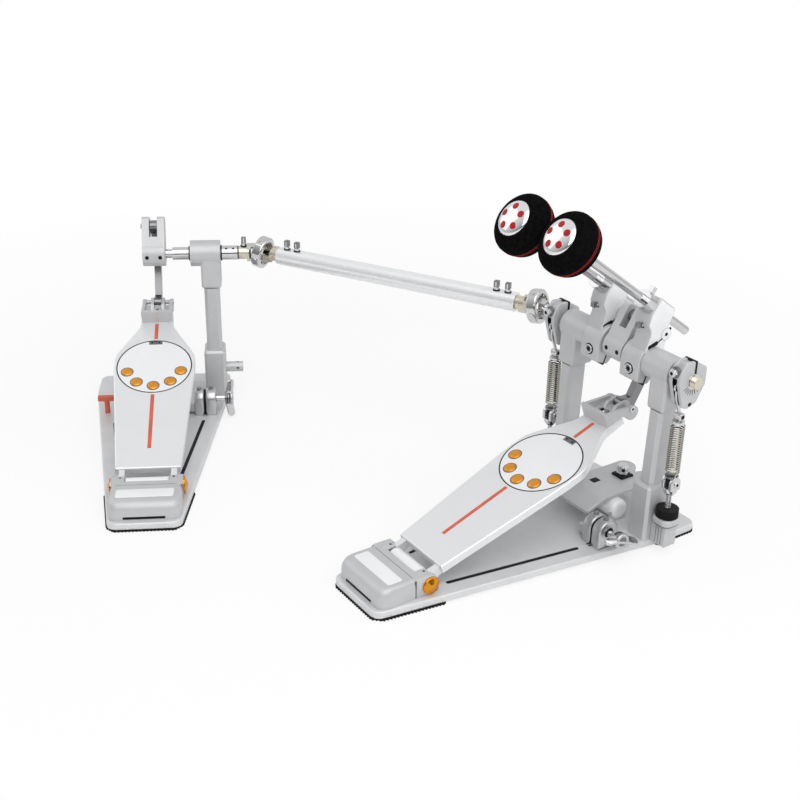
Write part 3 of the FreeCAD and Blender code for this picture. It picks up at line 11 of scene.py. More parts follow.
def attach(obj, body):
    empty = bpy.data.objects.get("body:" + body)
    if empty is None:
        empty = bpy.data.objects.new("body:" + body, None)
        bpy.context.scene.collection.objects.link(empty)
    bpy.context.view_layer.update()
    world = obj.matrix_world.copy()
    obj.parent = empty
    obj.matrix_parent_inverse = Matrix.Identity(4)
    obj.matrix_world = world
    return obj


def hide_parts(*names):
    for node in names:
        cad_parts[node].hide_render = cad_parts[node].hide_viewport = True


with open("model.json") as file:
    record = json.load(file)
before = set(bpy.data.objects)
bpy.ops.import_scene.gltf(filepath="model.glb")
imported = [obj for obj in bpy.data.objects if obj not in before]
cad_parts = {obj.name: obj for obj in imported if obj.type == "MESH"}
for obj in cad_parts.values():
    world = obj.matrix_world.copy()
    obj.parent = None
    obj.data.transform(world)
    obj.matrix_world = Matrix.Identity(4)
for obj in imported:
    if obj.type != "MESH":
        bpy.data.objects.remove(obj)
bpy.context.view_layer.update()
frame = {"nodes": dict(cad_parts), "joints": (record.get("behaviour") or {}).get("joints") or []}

bl_info = {
    "name": "Double bass drum pedal",
    "version": (1, 0, 0),
    "blender": (4, 5, 0),
    "location": "View3D > Sidebar > Pedal",
    "description": "Dresses the packed pedal with its castings, bright hardware, felt beaters and stage",
    "category": "Object",
}

# Shapes are worked out in millimetres and scaled to metres when a mesh is made.
MM = 0.001
ROUND = 2 * math.pi
Form = namedtuple("Form", "points quads caps")


def joint(name):
    """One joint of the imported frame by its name."""
    return next(found for found in frame["joints"] if found["name"] == name)


def frame_at(name):
    """X direction of a shaft's own frame, and the place of the joint that it turns in."""
    found = joint(name)
    return -np.array(found["axis"]), np.array(found["pos_m"]) / MM


def axes_along(along):
    """Rows of a frame whose X runs along a level direction and whose Z is up."""
    up = np.array([0.0, 0.0, 1.0])
    return np.stack((along, np.cross(up, along), up))


AXLE_HEIGHT = joint("main_axle_turn")["pos_m"][2] / MM
SLAVE_WAY, SLAVE_SPOT = frame_at("slave_axle_turn")
TUBE_WAY, TUBE_SPOT = frame_at("tube_turn")
SHAFT_SPOT = np.array(joint("shaft_turn")["pos_m"]) / MM
FLOOR = np.array([1.0, 1.0, 0.0])
PEDALS = {
    "main": (np.eye(3), np.zeros(3), "frame"),
    "slave": (axes_along(SLAVE_WAY), SLAVE_SPOT * FLOOR, "slave_frame"),
}
SIDES = (-1, 1)

# Place of the right return spring's axis. The left spring stands at minus the same X.
SPRING_X, SPRING_Y = 100.5, -6.5

# Top of a floor plate's rim, and the place of a wing screw's axis in side view.
BASE_TOP = 10.5
WING_SPOT = (-66, 29)

# Steps of the quarter circle at a softened rim, and the angle past which an edge is drawn sharp.
RIM_STEPS = 4
SHARP = math.radians(38)

# Directions that a flat outline's two axes and its thickness take in a pedal's frame.
FLAT = np.eye(3)
SIDEWAYS = np.array([[0.0, 1, 0], [0, 0, 1], [1, 0, 0]])
FACING = np.array([[1.0, 0, 0], [0, 0, 1], [0, -1, 0]])


def rounded(corners, radii, steps=5):
    """Closed outline with rounded corners. An arc stands in for each corner: it leaves the first side
    radius times the tangent of half the turn before the corner, and turns by the corner's angle."""
    here = np.asarray(corners, float)
    before = here - np.roll(here, 1, axis=0)
    after = np.roll(here, -1, axis=0) - here
    way_in = before / np.linalg.norm(before, axis=1, keepdims=True)
    way_out = after / np.linalg.norm(after, axis=1, keepdims=True)
    cross = way_in[:, 0] * way_out[:, 1] - way_in[:, 1] * way_out[:, 0]
    turn = np.arctan2(cross, np.sum(way_in * way_out, axis=1))
    radius = np.broadcast_to(np.asarray(radii, float), turn.shape)
    start = here - way_in * (radius * np.abs(np.tan(turn / 2)))[:, None]
    left = np.stack((-way_in[:, 1], way_in[:, 0]), axis=1)
    centre = start + left * (np.sign(turn) * radius)[:, None]
    arm = start - centre
    angle = turn[:, None] * np.linspace(0, 1, steps)[None, :]
    across = arm[:, :1] * np.cos(angle) - arm[:, 1:] * np.sin(angle)
    along = arm[:, :1] * np.sin(angle) + arm[:, 1:] * np.cos(angle)
    outline = np.stack((centre[:, :1] + across, centre[:, 1:] + along), axis=2).reshape(-1, 2)
    nearby = np.linalg.norm(outline - np.roll(outline, 1, axis=0), axis=1)
    return outline[nearby > 1e-4]


def box_outline(low, high, radius):
    """Rectangle between two corners, with rounded corners."""
    return rounded([low, (high[0], low[1]), high, (low[0], high[1])], radius)


def ring_outline(radius, steps=32, centre=(0, 0), start=0.0):
    """Circle, or a regular polygon when it has few steps."""
    angle = start + ROUND * np.arange(steps) / steps
    return np.stack((centre[0] + radius * np.cos(angle), centre[1] + radius * np.sin(angle)), axis=1)


def inset(outline, amount):
    """Outline moved inwards. Each point goes along the sum of its two side normals over one plus their
    product, so that both sides move by the same amount."""
    ahead = np.roll(outline, -1, axis=0) - outline
    ahead = ahead / np.linalg.norm(ahead, axis=1, keepdims=True)
    normal = np.stack((-ahead[:, 1], ahead[:, 0]), axis=1)
    last = np.roll(normal, 1, axis=0)
    return outline + amount * (normal + last) / (1 + np.sum(normal * last, axis=1))[:, None]


def counted_left(outline):
    """Outline that runs to the left round its middle."""
    ahead = np.roll(outline, -1, axis=0)
    area = np.sum(outline[:, 0] * ahead[:, 1] - outline[:, 1] * ahead[:, 0])
    return outline if area > 0 else outline[::-1]


def wall_quads(rows, columns, closed):
    """Index of the four corners of every cell of a grid that closes round its columns, and round its rows too
    where it is closed."""
    row = np.arange(rows if closed else rows - 1)[:, None]
    column = np.arange(columns)[None, :]
    over = (row + 1) % rows
    beside = (column + 1) % columns
    corners = (row * columns + column, row * columns + beside, over * columns + beside, over * columns + column)
    return np.stack(np.broadcast_arrays(*corners), axis=2).reshape(-1, 4)


def stacked(rings, closed=False):
    """Form from rings of points, one above the other. They close into a loop, or a flat cap shuts each end."""
    rings = np.asarray(rings)
    rows, columns, _ = rings.shape
    caps = [] if closed else [np.arange(columns)[::-1], (rows - 1) * columns + np.arange(columns)]
    return Form(rings.reshape(-1, 3), wall_quads(rows, columns, closed), caps)


def at_level(outline, height):
    """Outline lifted to a height."""
    return np.column_stack((outline, np.full(len(outline), height)))


def rim_profile(low, high, edge):
    """Inset and height of each step up a wall whose two rims are quarter circles."""
    turn = np.linspace(0, math.pi / 2, RIM_STEPS)
    rise, drop = edge * (1 - np.cos(turn)), edge * (1 - np.sin(turn))
    return np.concatenate((drop, rise)), np.concatenate((low + rise, high - drop))


def plate(outline, low, high, edge=0.8):
    """Slab over an outline with rounded rims. One parameter runs round the outline, the other up the wall."""
    outline = counted_left(outline)
    return stacked([at_level(inset(outline, step), height) for step, height in zip(*rim_profile(low, high, edge))])


def turned(profile, steps=40, closed=False):
    """Body of revolution about Z: each profile point, a radius and a height, runs once round."""
    radius, height = np.asarray(profile, float).T
    angle = ROUND * np.arange(steps) / steps
    rings = np.stack((radius[:, None] * np.cos(angle), radius[:, None] * np.sin(angle),
                      np.repeat(height[:, None], steps, axis=1)), axis=2)
    return stacked(rings, closed)


def hoop(profile, steps=48):
    """Ring: a closed profile of radius and height carried once round Z."""
    return turned(profile, steps, closed=True)


def barrel(radius, low, high, edge=0.6, steps=32):
    """Short round bar with softened rims, along Z."""
    insets, heights = rim_profile(low, high, edge)
    return turned(np.stack((radius - insets, heights), axis=1), steps)


def dome(radius, low, rise, steps=28, rings=7):
    """Cap of a squashed ball on a short foot: the height falls off as the cosine of the angle."""
    turn = np.linspace(0, 0.97 * math.pi / 2, rings)
    crown = np.stack((radius * np.cos(turn), low + rise * np.sin(turn)), axis=1)
    foot = np.array([[radius, low - 0.05 * rise]])
    return turned(np.concatenate((foot, crown)), steps)


def swept(section, path, across):
    """Section carried along a path in a plane. Its first coordinate runs along the plane's normal, the second
    along the path's own normal, which is square to both."""
    path = np.asarray(path, float)
    ahead = np.gradient(path, axis=0)
    ahead = ahead / np.linalg.norm(ahead, axis=1, keepdims=True)
    across = np.asarray(across, float)
    out = np.cross(ahead, across)
    section = counted_left(np.asarray(section, float))
    return stacked(path[:, None, :] + section[None, :, :1] * across + section[None, :, 1:] * out[:, None, :])


def smooth_path(corners, steps=8):
    """Even curve through the given points: a cubic through each pair, with slopes from their neighbours."""
    points = np.asarray(corners, float)
    slope = np.gradient(points, axis=0)
    share = np.linspace(0, 1, steps, endpoint=False)[None, :, None]
    start, end = points[:-1, None], points[1:, None]
    leave, arrive = slope[:-1, None], slope[1:, None]
    curve = ((2 * share ** 3 - 3 * share ** 2 + 1) * start + (share ** 3 - 2 * share ** 2 + share) * leave
             + (3 * share ** 2 - 2 * share ** 3) * end + (share ** 3 - share ** 2) * arrive)
    return np.concatenate((curve.reshape(-1, points.shape[1]), points[-1:]))


def laid(form, axes=FLAT, origin=(0, 0, 0)):
    """Form turned so that its own axes run along the given rows, then moved to an origin."""
    return form._replace(points=form.points @ np.asarray(axes, float) + np.asarray(origin, float))


def all_laid(parts, axes=FLAT, origin=(0, 0, 0)):
    """Pairs of finish and form, with every form laid in the same way."""
    return [(finish, laid(form, axes, origin)) for finish, form in parts]


def on_pedal(pedal, parts):
    """Parts of a pedal's own frame, moved into the frame of the whole."""
    axes, origin, _ = PEDALS[pedal]
    return all_laid(parts, axes, origin)


def sided(form, height=0.0):
    """Form drawn in side view, its thickness along X."""
    return laid(form, SIDEWAYS, (0, 0, height))


def pair_of(finish, outline, near, far, edge):
    """Two like plates drawn in side view, one at each side of the middle, between two distances from it."""
    return [(finish, sided(plate(outline, low, high, edge))) for low, high in ((-far, -near), (near, far))]


def capsule(start, end, radius):
    """Outline of a slot: a bar between two points with half round ends."""
    start, end = np.asarray(start, float), np.asarray(end, float)
    ahead = (end - start) / np.linalg.norm(end - start)
    side = radius * np.array([-ahead[1], ahead[0]])
    start, end = start - radius * ahead, end + radius * ahead
    return rounded([start - side, end - side, end + side, start + side], 0.98 * radius, 9)


def slab(low, high, edge=0.6):
    """Upright block between two corners, with softened edges."""
    return plate(box_outline(low[:2], high[:2], edge), low[2], high[2], edge)


def tilted(degrees):
    """Rows of a frame turned about X: its Y runs up a slope of so many degrees."""
    slope = math.radians(degrees)
    return np.array([[1.0, 0, 0], [0, math.cos(slope), math.sin(slope)], [0, -math.sin(slope), math.cos(slope)]])


def spun(turn):
    """Rows of a frame turned about Z by an angle."""
    return np.array([[math.cos(turn), math.sin(turn), 0], [-math.sin(turn), math.cos(turn), 0], [0, 0, 1]])


def toothed(corners, pitch=4.0, depth=1.2):
    """Closed outline whose straight sides carry teeth: four points to a tooth, two of them out by the depth."""
    corners = counted_left(np.asarray(corners, float))
    sides = []
    for start, end in zip(corners, np.roll(corners, -1, axis=0)):
        count = int(np.linalg.norm(end - start) // pitch)
        way = (end - start) / np.linalg.norm(end - start)
        along = np.linspace(0, 1, 4 * count, endpoint=False)[:, None]
        out = np.tile([0, 1, 1, 0], count)[:, None] * depth
        sides.append(start + along * (end - start) + out * np.array([way[1], -way[0]]))
    return np.concatenate(sides)


def make_piece(name, body, parts, replaces=()):
    """Mesh object from pairs of finish and form. It sits at the origin with its place in its points, and
    rides on a body of the frame."""
    names = list(dict.fromkeys(finish for finish, _ in parts))
    points, faces, paint = [], [], []
    count = 0
    for finish, form in parts:
        part_faces = (form.quads + count).tolist() + [(cap + count).tolist() for cap in form.caps]
        points.append(form.points * MM)
        faces += part_faces
        paint += [names.index(finish)] * len(part_faces)
        count += len(form.points)
    mesh = bpy.data.meshes.new(name)
    mesh.from_pydata(np.concatenate(points).tolist(), [], faces)
    for finish in names:
        mesh.materials.append(finish_named(finish))
    mesh.polygons.foreach_set("material_index", paint)
    mesh.polygons.foreach_set("use_smooth", [True] * len(faces))
    mesh.set_sharp_from_angle(angle=SHARP)
    mesh.update()
    made = bpy.data.objects.new(name, mesh)
    bpy.context.scene.collection.objects.link(made)
    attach(made, body)
    if replaces:
        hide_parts(*replaces)
    return made


FINISH_PREFIX = "pedal_"


class Nodes:
    """Short hand for wiring the nodes of one material, or of the world."""

    def __init__(self, owner):
        owner.use_nodes = True
        self.owner = owner
        self.tree = owner.node_tree
        self.shader = self.tree.nodes.get("Principled BSDF")

    def add(self, kind, **values):
        """New node with plain inputs and settings given by name."""
        node = self.tree.nodes.new(kind)
        for key, value in values.items():
            if key in node.inputs:
                node.inputs[key].default_value = value
            else:
                setattr(node, key, value)
        return node

    def link(self, source, target):
        """Wire from one socket to another."""
        self.tree.links.new(source, target)

    def feed(self, name, source):
        """Wire from a socket to the shader's input of that name."""
        self.link(source, self.shader.inputs[name])

    def fix(self, name, value):
        """One value all over for the shader's input of that name."""
        self.shader.inputs[name].default_value = value

    def noise(self, scale, detail=4.0, stretch=(1, 1, 1)):
        """Soft random pattern on Object coordinates, stretched along the three axes."""
        spot = self.add("ShaderNodeTexCoord")
        mapping = self.add("ShaderNodeMapping", Scale=stretch)
        texture = self.add("ShaderNodeTexNoise", Scale=scale, Detail=detail)
        self.link(spot.outputs["Object"], mapping.inputs["Vector"])
        self.link(mapping.outputs["Vector"], texture.inputs["Vector"])
        return texture.outputs["Fac"]

    def spread(self, source, low, high, middle=0.5, width=0.2):
        """Maps the middle of a pattern to a span between two values."""
        ranged = self.add("ShaderNodeMapRange", **{"From Min": middle - width, "From Max": middle + width,
                                                   "To Min": low, "To Max": high})
        self.link(source, ranged.inputs["Value"])
        return ranged.outputs["Result"]

    def join(self, operation, first, second):
        """Number worked out from two others."""
        node = self.add("ShaderNodeMath", operation=operation)
        self.link(first, node.inputs[0])
        self.link(second, node.inputs[1])
        return node.outputs[0]

    def measure(self, operation, first, second):
        """Number worked out from two vectors. The second one is a socket or fixed."""
        node = self.add("ShaderNodeVectorMath", operation=operation)
        self.link(first, node.inputs[0])
        if hasattr(second, "is_output"):
            self.link(second, node.inputs[1])
        else:
            node.inputs[1].default_value = second
        return node.outputs["Value"]

    def bump(self, height, strength, depth, normal=None):
        """Normal over the relief of a pattern, so many millimetres deep, on top of another normal if one is given."""
        node = self.add("ShaderNodeBump", Strength=strength, Distance=depth * MM)
        self.link(height, node.inputs["Height"])
        if normal:
            self.link(normal, node.inputs["Normal"])
        return node.outputs["Normal"]

    def end_between(self, output, share, first, second):
        """Shader between two others, wired to the output node."""
        mix = self.add("ShaderNodeMixShader")
        for socket, source in zip(mix.inputs, (share, first, second)):
            self.link(source, socket)
        self.link(mix.outputs[0], self.tree.nodes[output].inputs[0])

    def blend(self, share, first, second):
        """Colour between two others, each one fixed or from a socket. A mix node's colour inputs are its seventh
        and eighth, and its colour output is the third."""
        mix = self.add("ShaderNodeMix", data_type="RGBA")
        self.link(share, mix.inputs["Factor"])
        for socket, value in ((mix.inputs[6], first), (mix.inputs[7], second)):
            if hasattr(value, "is_output"):
                self.link(value, socket)
            else:
                socket.default_value = (*value, 1)
        return mix.outputs[2]


def shade(colour, amount):
    """Colour made lighter or darker by a factor."""
    return tuple(min(1.0, channel * amount) for channel in colour)


def new_finish(name):
    """Nodes of a new material, whose name is set apart from the frame's own materials."""
    return Nodes(bpy.data.materials.new(FINISH_PREFIX + name))


def make_metal(name, colour, rough, grain=900.0, depth=0.05, brushed=(1, 1, 1), metallic=1.0, bevel=0.5, wear=1.12,
               cloud=0.03):
    """Metal with a fine grain, faint clouds and softened edges that are rubbed a little brighter."""
    made = new_finish(name)
    clouds = made.noise(38.0, 3.0)
    fine = made.noise(grain, 5.0, brushed)
    edge = made.add("ShaderNodeBevel", samples=4, Radius=bevel * MM)
    flat = made.add("ShaderNodeNewGeometry")
    match = made.measure("DOT_PRODUCT", edge.outputs["Normal"], flat.outputs["Normal"])
    rubbed = made.spread(match, 1.0, 0.0, middle=0.94, width=0.05)
    toned = made.blend(made.spread(clouds, 0.0, 1.0), shade(colour, 1 - cloud), shade(colour, 1 + cloud))
    made.feed("Base Color", made.blend(rubbed, toned, shade(colour, wear)))
    made.feed("Roughness", made.spread(fine, rough * 0.9, rough * 1.12))
    made.feed("Normal", made.bump(fine, depth, 0.2, edge.outputs["Normal"]))
    made.fix("Metallic", metallic)
    return made.owner


def make_paint(name, colour, rough, coat=0.0, grain=500.0, depth=0.05, gloss=0.3):
    """Paint or moulded plastic with faint mottling and a light orange-peel skin."""
    made = new_finish(name)
    clouds = made.noise(60.0, 3.0)
    fine = made.noise(grain)
    made.feed("Base Color", made.blend(made.spread(clouds, 0.0, 1.0), shade(colour, 0.86), shade(colour, 1.1)))
    made.feed("Roughness", made.spread(fine, rough * 0.8, rough * 1.2))
    made.feed("Normal", made.bump(fine, depth, 0.3))
    made.fix("Coat Weight", coat)
    made.fix("Specular IOR Level", gloss)
    return made.owner


def make_coil(name, colour):
    """Nickel wire of a spring at either end of the axle, with painted shade: its colour falls towards the inner side
    of its coil, where the far coils stand in shade.
    """
    made = new_finish(name)
    spot = made.add("ShaderNodeTexCoord")
    flat = made.add("ShaderNodeMapping", Location=(0, -SPRING_Y * MM, 0), Scale=(1, 1, 0))
    made.link(spot.outputs["Object"], flat.inputs["Vector"])
    folded = made.add("ShaderNodeVectorMath", operation="ABSOLUTE")
    made.link(flat.outputs["Vector"], folded.inputs[0])
    out = made.measure("DISTANCE", folded.outputs["Vector"], (SPRING_X * MM, 0, 0))
    # Painted shade: nearer the spring's axis, the wire takes 0.12 of its colour.
    out_of_painted_shade = made.spread(out, 0.0, 1.0, middle=7.2 * MM, width=0.5 * MM)
    made.feed("Base Color", made.blend(out_of_painted_shade, shade(colour, 0.12), colour))
    made.feed("Roughness", made.spread(made.noise(800.0), 0.22, 0.3))
    made.fix("Metallic", 1.0)
    return made.owner


def make_felt(name, colour):
    """Dense wool felt: short tangled fibres in two sizes and hardly any gloss."""
    made = new_finish(name)
    clumps = made.noise(260.0, 6.0)
    fibres = made.noise(1500.0, 8.0)
    made.feed("Base Color", made.blend(made.spread(clumps, 0.0, 1.0), shade(colour, 0.6), shade(colour, 1.6)))
    made.feed("Roughness", made.spread(fibres, 0.85, 1.0))
    made.feed("Normal", made.bump(fibres, 0.6, 0.3, made.bump(clumps, 0.5, 0.5)))
    made.fix("Specular IOR Level", 0.02)
    return made.owner


def colour_prop(label, words, default):
    """Colour that a user may change."""
    return FloatVectorProperty(name=label, description=words, subtype="COLOR", size=3, min=0, max=1,
                               default=default)


def length_prop(label, words, default):
    """Length in metres that a user may change, from its size in millimetres."""
    return FloatProperty(name=label, description=words, unit="LENGTH", default=default * MM)


def angle_prop(label, words, degrees):
    """Angle that a user may change, from its size in degrees."""
    return FloatProperty(name=label, description=words, unit="ROTATION", default=math.radians(degrees))


class PedalColours(bpy.types.PropertyGroup):
    """Colours of the pedal's finishes."""

    cast: colour_prop("Castings", "Satin grey of the cast aluminium", (0.56, 0.565, 0.575))
    board: colour_prop("Footboard", "Bright metal of the footboard", (0.80, 0.81, 0.82))
    chrome: colour_prop("Chrome", "Polished plate on hardware", (0.64, 0.64, 0.65))
    nickel: colour_prop("Nickel", "Warm nickel of the wound springs", (0.46, 0.44, 0.39))
    steel: colour_prop("Steel", "Plain steel of the links and key bolts", (0.24, 0.24, 0.25))
    bronze: colour_prop("Bronze", "Champagne plate of the joint sockets", (0.68, 0.63, 0.52))
    amber: colour_prop("Amber", "Grips and hinge caps", (0.74, 0.30, 0.025))
    red: colour_prop("Red", "Beater seams and marks", (0.44, 0.016, 0.02))
    stripe: colour_prop("Stripe", "Dull orange-red of the stripes and the key", (0.66, 0.13, 0.07))
    felt: colour_prop("Felt", "Beater heads", (0.004, 0.004, 0.004))
    rubber: colour_prop("Rubber", "Soles", (0.012, 0.012, 0.013))
    # Black of the knobs. The same black, put in screw holes, slots, grooves and gaps, is painted shade there.
    black: colour_prop("Black", "Knobs, screw holes and grooves", (0.008, 0.008, 0.009))


# Maker of each finish, the colour it takes, how much lighter it is than that colour, and the maker's settings.
FINISHES = {
    "cast": (make_metal, "cast", 1, dict(rough=0.45, grain=1400, depth=0.1, metallic=0.35)),
    "base": (make_metal, "cast", 1.25, dict(rough=0.45, grain=1400, depth=0.1, metallic=0.3)),
    "panel": (make_metal, "cast", 1.12, dict(rough=0.45, grain=1400, depth=0.12, metallic=0.3)),
    "shadow": (make_metal, "cast", 0.35, dict(rough=0.4, grain=900, depth=0.1)),
    "board": (make_metal, "board", 1, dict(rough=0.34, grain=900, depth=0.02, brushed=(4, 0.25, 1), metallic=0.5,
                                           cloud=0.01, wear=1.0)),
    "disc": (make_metal, "board", 1.14, dict(rough=0.3, grain=2600, depth=0.005, metallic=0.4, cloud=0.01)),
    "tube": (make_metal, "board", 1.1, dict(rough=0.28, grain=1200, depth=0.02, brushed=(3, 3, 0.5), metallic=0.5,
                                            cloud=0.015)),
    "plate": (make_metal, "board", 1.12, dict(rough=0.35, grain=2600, depth=0.005, metallic=0.2, cloud=0.01)),
    "polished": (make_metal, "board", 1.1, dict(rough=0.36, grain=2600, depth=0.01, metallic=0.2)),
    "roller": (make_metal, "board", 1.12, dict(rough=0.4, grain=2600, depth=0.02, metallic=0.1)),
    "mirror": (make_metal, "board", 1.08, dict(rough=0.1, grain=2600, depth=0.01, wear=1.0)),
    "chrome": (make_metal, "chrome", 1, dict(rough=0.1, grain=600, depth=0.02, wear=1.05)),
    "zinc": (make_metal, "chrome", 0.85, dict(rough=0.3, grain=1400, depth=0.05, metallic=0.9)),
    "nickel": (make_coil, "nickel", 1, {}),
    "steel": (make_metal, "steel", 1, dict(rough=0.25, grain=800, depth=0.03, bevel=0.2, wear=1.5)),
    "bronze": (make_metal, "bronze", 1, dict(rough=0.26, grain=700, depth=0.04, metallic=0.8)),
    "amber": (make_metal, "amber", 1, dict(rough=0.3, grain=700, depth=0.03, metallic=0.6)),
    "gold": (make_metal, "amber", 0.95, dict(rough=0.16, grain=2600, depth=0.01, wear=1.2)),
    "stripe": (make_paint, "stripe", 1, dict(rough=0.4, coat=0.1)),
    "red": (make_paint, "red", 1, dict(rough=0.35, gloss=0.15)),
    "rubber": (make_paint, "rubber", 1, dict(rough=0.75, grain=900, depth=0.3, gloss=0.15)),
    "black": (make_paint, "black", 1, dict(rough=0.5, grain=700, depth=0.15, gloss=0.15)),
    "felt": (make_felt, "felt", 1, {}),
}


def finish_named(name):
    """Material of a finish, made the first time that it is asked for."""
    found = bpy.data.materials.get(FINISH_PREFIX + name)
    if found:
        return found
    make, tone, lighter, settings = FINISHES[name]
    return make(name, shade(getattr(bpy.context.scene.pedal_colours, tone), lighter), **settings)


def coat_nodes(finish, *names):
    """Gives nodes of the frame a finish."""
    for name in names:
        mesh = frame["nodes"][name].data
        mesh.materials.clear()
        mesh.materials.append(finish_named(finish))


def both(*names):
    """Names of a part of both pedals."""
    return [pedal + "_" + name for pedal in PEDALS for name in names]


class PEDAL_OT_finishes(bpy.types.Operator):
    """Gives the nodes that show as they are their finish"""

    bl_idname = "pedal.finishes"
    bl_label = "Finishes of the frame"

    def execute(self, context):
        coat_nodes("base", *both("base"))
        coat_nodes("cast", *both("heel_block", "toe_bracket", "cam", "clamp_plate"), "main_posts", "slave_post",
                   "main_housings", "slave_housing", "right_holder", "left_holder", "right_spring_cam",
                   "left_spring_cam")
        coat_nodes("board", *both("footboard"))
        coat_nodes("disc", *both("disc"))
        coat_nodes("chrome", *both("clamp_block", "clamp_wing"), "main_axle", "left_axle", "slave_axle",
                   "main_joint_ring", "slave_joint_ring", "right_collar", "left_collar", "right_beater_rod",
                   "left_beater_rod", "right_hook", "left_hook", "spring_anchors")
        coat_nodes("roller", *both("hinge_pin"))
        coat_nodes("nickel", "right_spring", "left_spring")
        coat_nodes("steel", *both("link"))
        coat_nodes("tube", "drive_tube")
        coat_nodes("bronze", "tube_yoke", "slave_shaft")
        coat_nodes("amber", *both("hinge_caps", "grip_dots"))
        coat_nodes("rubber", *both("soles"))
        coat_nodes("black", "right_knob", "left_knob")
        coat_nodes("stripe", "drum_key")
        return {"FINISHED"}


BOARD_HEEL = (0, -268.8, 36.35)
BOARD_SLOPE = 20.38


def on_board(pedal, parts):
    """Parts of the footboard's own plane: X across, Y from its heel edge to the toe, Z off its top face."""
    return on_pedal(pedal, all_laid(parts, tilted(BOARD_SLOPE), BOARD_HEEL))


class HeelSizes(bpy.types.PropertyGroup):
    """Sizes of the heel blocks."""

    half: length_prop("Half width", "Half of the block's width", 41.5)
    corner: length_prop("Corner", "Radius of the two front corners in plan", 11)
    plate_half: length_prop("Plate half width", "Half of the bare plate on top", 33)


class PEDAL_OT_heels(bpy.types.Operator):
    """Rounded heel blocks with their hinge ears and bare plate, and painted shade in the mouth, the side seams and
    the holes on the ears
    """

    bl_idname = "pedal.heels"
    bl_label = "Heel blocks"

    def execute(self, context):
        sizes = context.scene.pedal_heels
        for pedal, (_, _, body) in PEDALS.items():
            parts = heel_parts(sizes.half / MM, sizes.corner / MM, sizes.plate_half / MM)
            make_piece(pedal + "_heel", body, on_pedal(pedal, parts), [pedal + "_heel_block"])
        return {"FINISHED"}


def heel_parts(half, corner, plate_half):
    """Heel block as a stack of plan outlines that draw back from the front and sides as they rise."""
    front, back = -346.0, -294.0
    levels = ((BASE_TOP, 0, 0), (21.5, 0, 0), (25.5, 0.9, 0.3), (28.6, 2.6, 0.8), (30.8, 4.9, 1.6), (32.2, 7.8, 2.8),
              (32.9, 11.4, 4.2), (33.0, 14.5, 5.6))
    radii = (corner, corner, 2.0, 2.0)
    rings = [at_level(box_outline((inner - half, front + drawn), (half - inner, back), radii), height)
             for height, drawn, inner in levels]
    parts = [("cast", stacked(rings)),
             ("plate", plate(box_outline((-plate_half, -331), (plate_half, -313), 2.5), 32.4, 33.4, 0.4)),
             ("shadow", plate(box_outline((-half + 6, -303), (half - 6, -302.3), 0.2), 32, 33.06, 0.02)),
             # Black plate on the front face: painted shade in the block's mouth.
             ("black", laid(plate(box_outline((-24, 12.4), (24, 15.6), 1.2), 345, 346.3, 0.2), FACING))]
    ear = rounded([(-302, BASE_TOP), (-272.7, BASE_TOP), (-272.7, 24), (-279, 33.1), (-302, 33.1)],
                  (0.5, 1, 5, 5, 0.5))
    # Black strips down the sides: painted shade in the seam between the block's front and its hinge part.
    seam = box_outline((-302.6, 11.5), (-301.8, 31.5), 0.3)
    parts += pair_of("cast", ear, 35.0, half + 0.2, 0.9) + pair_of("black", seam, half - 0.8, half + 0.1, 0.05)
    bridge = [("cast", slab((-5, -296, 30.2), (5, -281.5, 33.2), 0.8)),
              # Black dot on top of each ear: painted shade in its hole.
              ("black", laid(barrel(1.4, 32.5, 33.4, 0.1, 16), FLAT, (0, -285.5, 0)))]
    for side in SIDES:
        parts += all_laid(bridge, FLAT, (side * 31, 0, 0))
    return parts


class PEDAL_OT_hinges(bpy.types.Operator):
    """Domed caps on the ends of the hinge pins"""

    bl_idname = "pedal.hinges"
    bl_label = "Hinge caps"

    def execute(self, context):
        cap = turned([(10, 41.5), (10, 43.4), (9.4, 44), (8.8, 43.6), (8.2, 43.8), (4, 46), (0.3, 47.3)], 40)
        hinge = (0, -283.7, 21.4)
        caps = [("gold", laid(cap, facing_out, hinge)) for facing_out in (SIDEWAYS, -SIDEWAYS[[1, 0, 2]])]
        for pedal, (_, _, body) in PEDALS.items():
            make_piece(pedal + "_caps", body, on_pedal(pedal, caps), [pedal + "_hinge_caps"])
        return {"FINISHED"}


class PEDAL_OT_floor_plates(bpy.types.Operator):
    """Inner panel of each floor plate, black strips of painted shade in its slots and the toothed rubber soles"""

    bl_idname = "pedal.floor_plates"
    bl_label = "Floor plates"

    def execute(self, context):
        panel = rounded([(-29, -284), (29, -284), (57, -84), (57, 30), (-57, 30), (-57, -84)], 6)
        parts = [("panel", plate(panel, 10.2, 10.75, 0.2))]
        for side in SIDES:
            slot = capsule((side * 34.5, -256), (side * 57.4, -96.6), 2.15)
            # Black strip in each slot: painted shade of the slot's inside.
            parts.append(("black", plate(slot, 10.0, 10.85, 0.1)))
        heel_sole = [(-34.5, -352), (34.5, -352), (43, -343.5), (53, -272), (-53, -272), (-43, -343.5)]
        toe_sole = [(-89.6, -3), (89.6, -3), (89.6, 50.5), (82, 58), (-82, 58), (-89.6, 50.5)]
        treads = [("rubber", plate(toothed(corners), 0, 3, 0.05)) for corners in (heel_sole, toe_sole)]
        for pedal, (_, _, body) in PEDALS.items():
            make_piece(pedal + "_floor_panel", body, on_pedal(pedal, parts))
            make_piece(pedal + "_treads", body, on_pedal(pedal, treads), [pedal + "_soles"])
        return {"FINISHED"}


class BoardSizes(bpy.types.PropertyGroup):
    """Sizes of the footboards' trim."""

    grip_radius: length_prop("Grip radius", "Radius of a round grip", 7)
    grip_rise: length_prop("Grip rise", "Height of a grip's dome", 1.9)
    grips: IntProperty(name="Grips", description="Round grips on each disc", default=5, min=1)
    pitch: angle_prop("Pitch", "Angle from one grip to the next", 37)


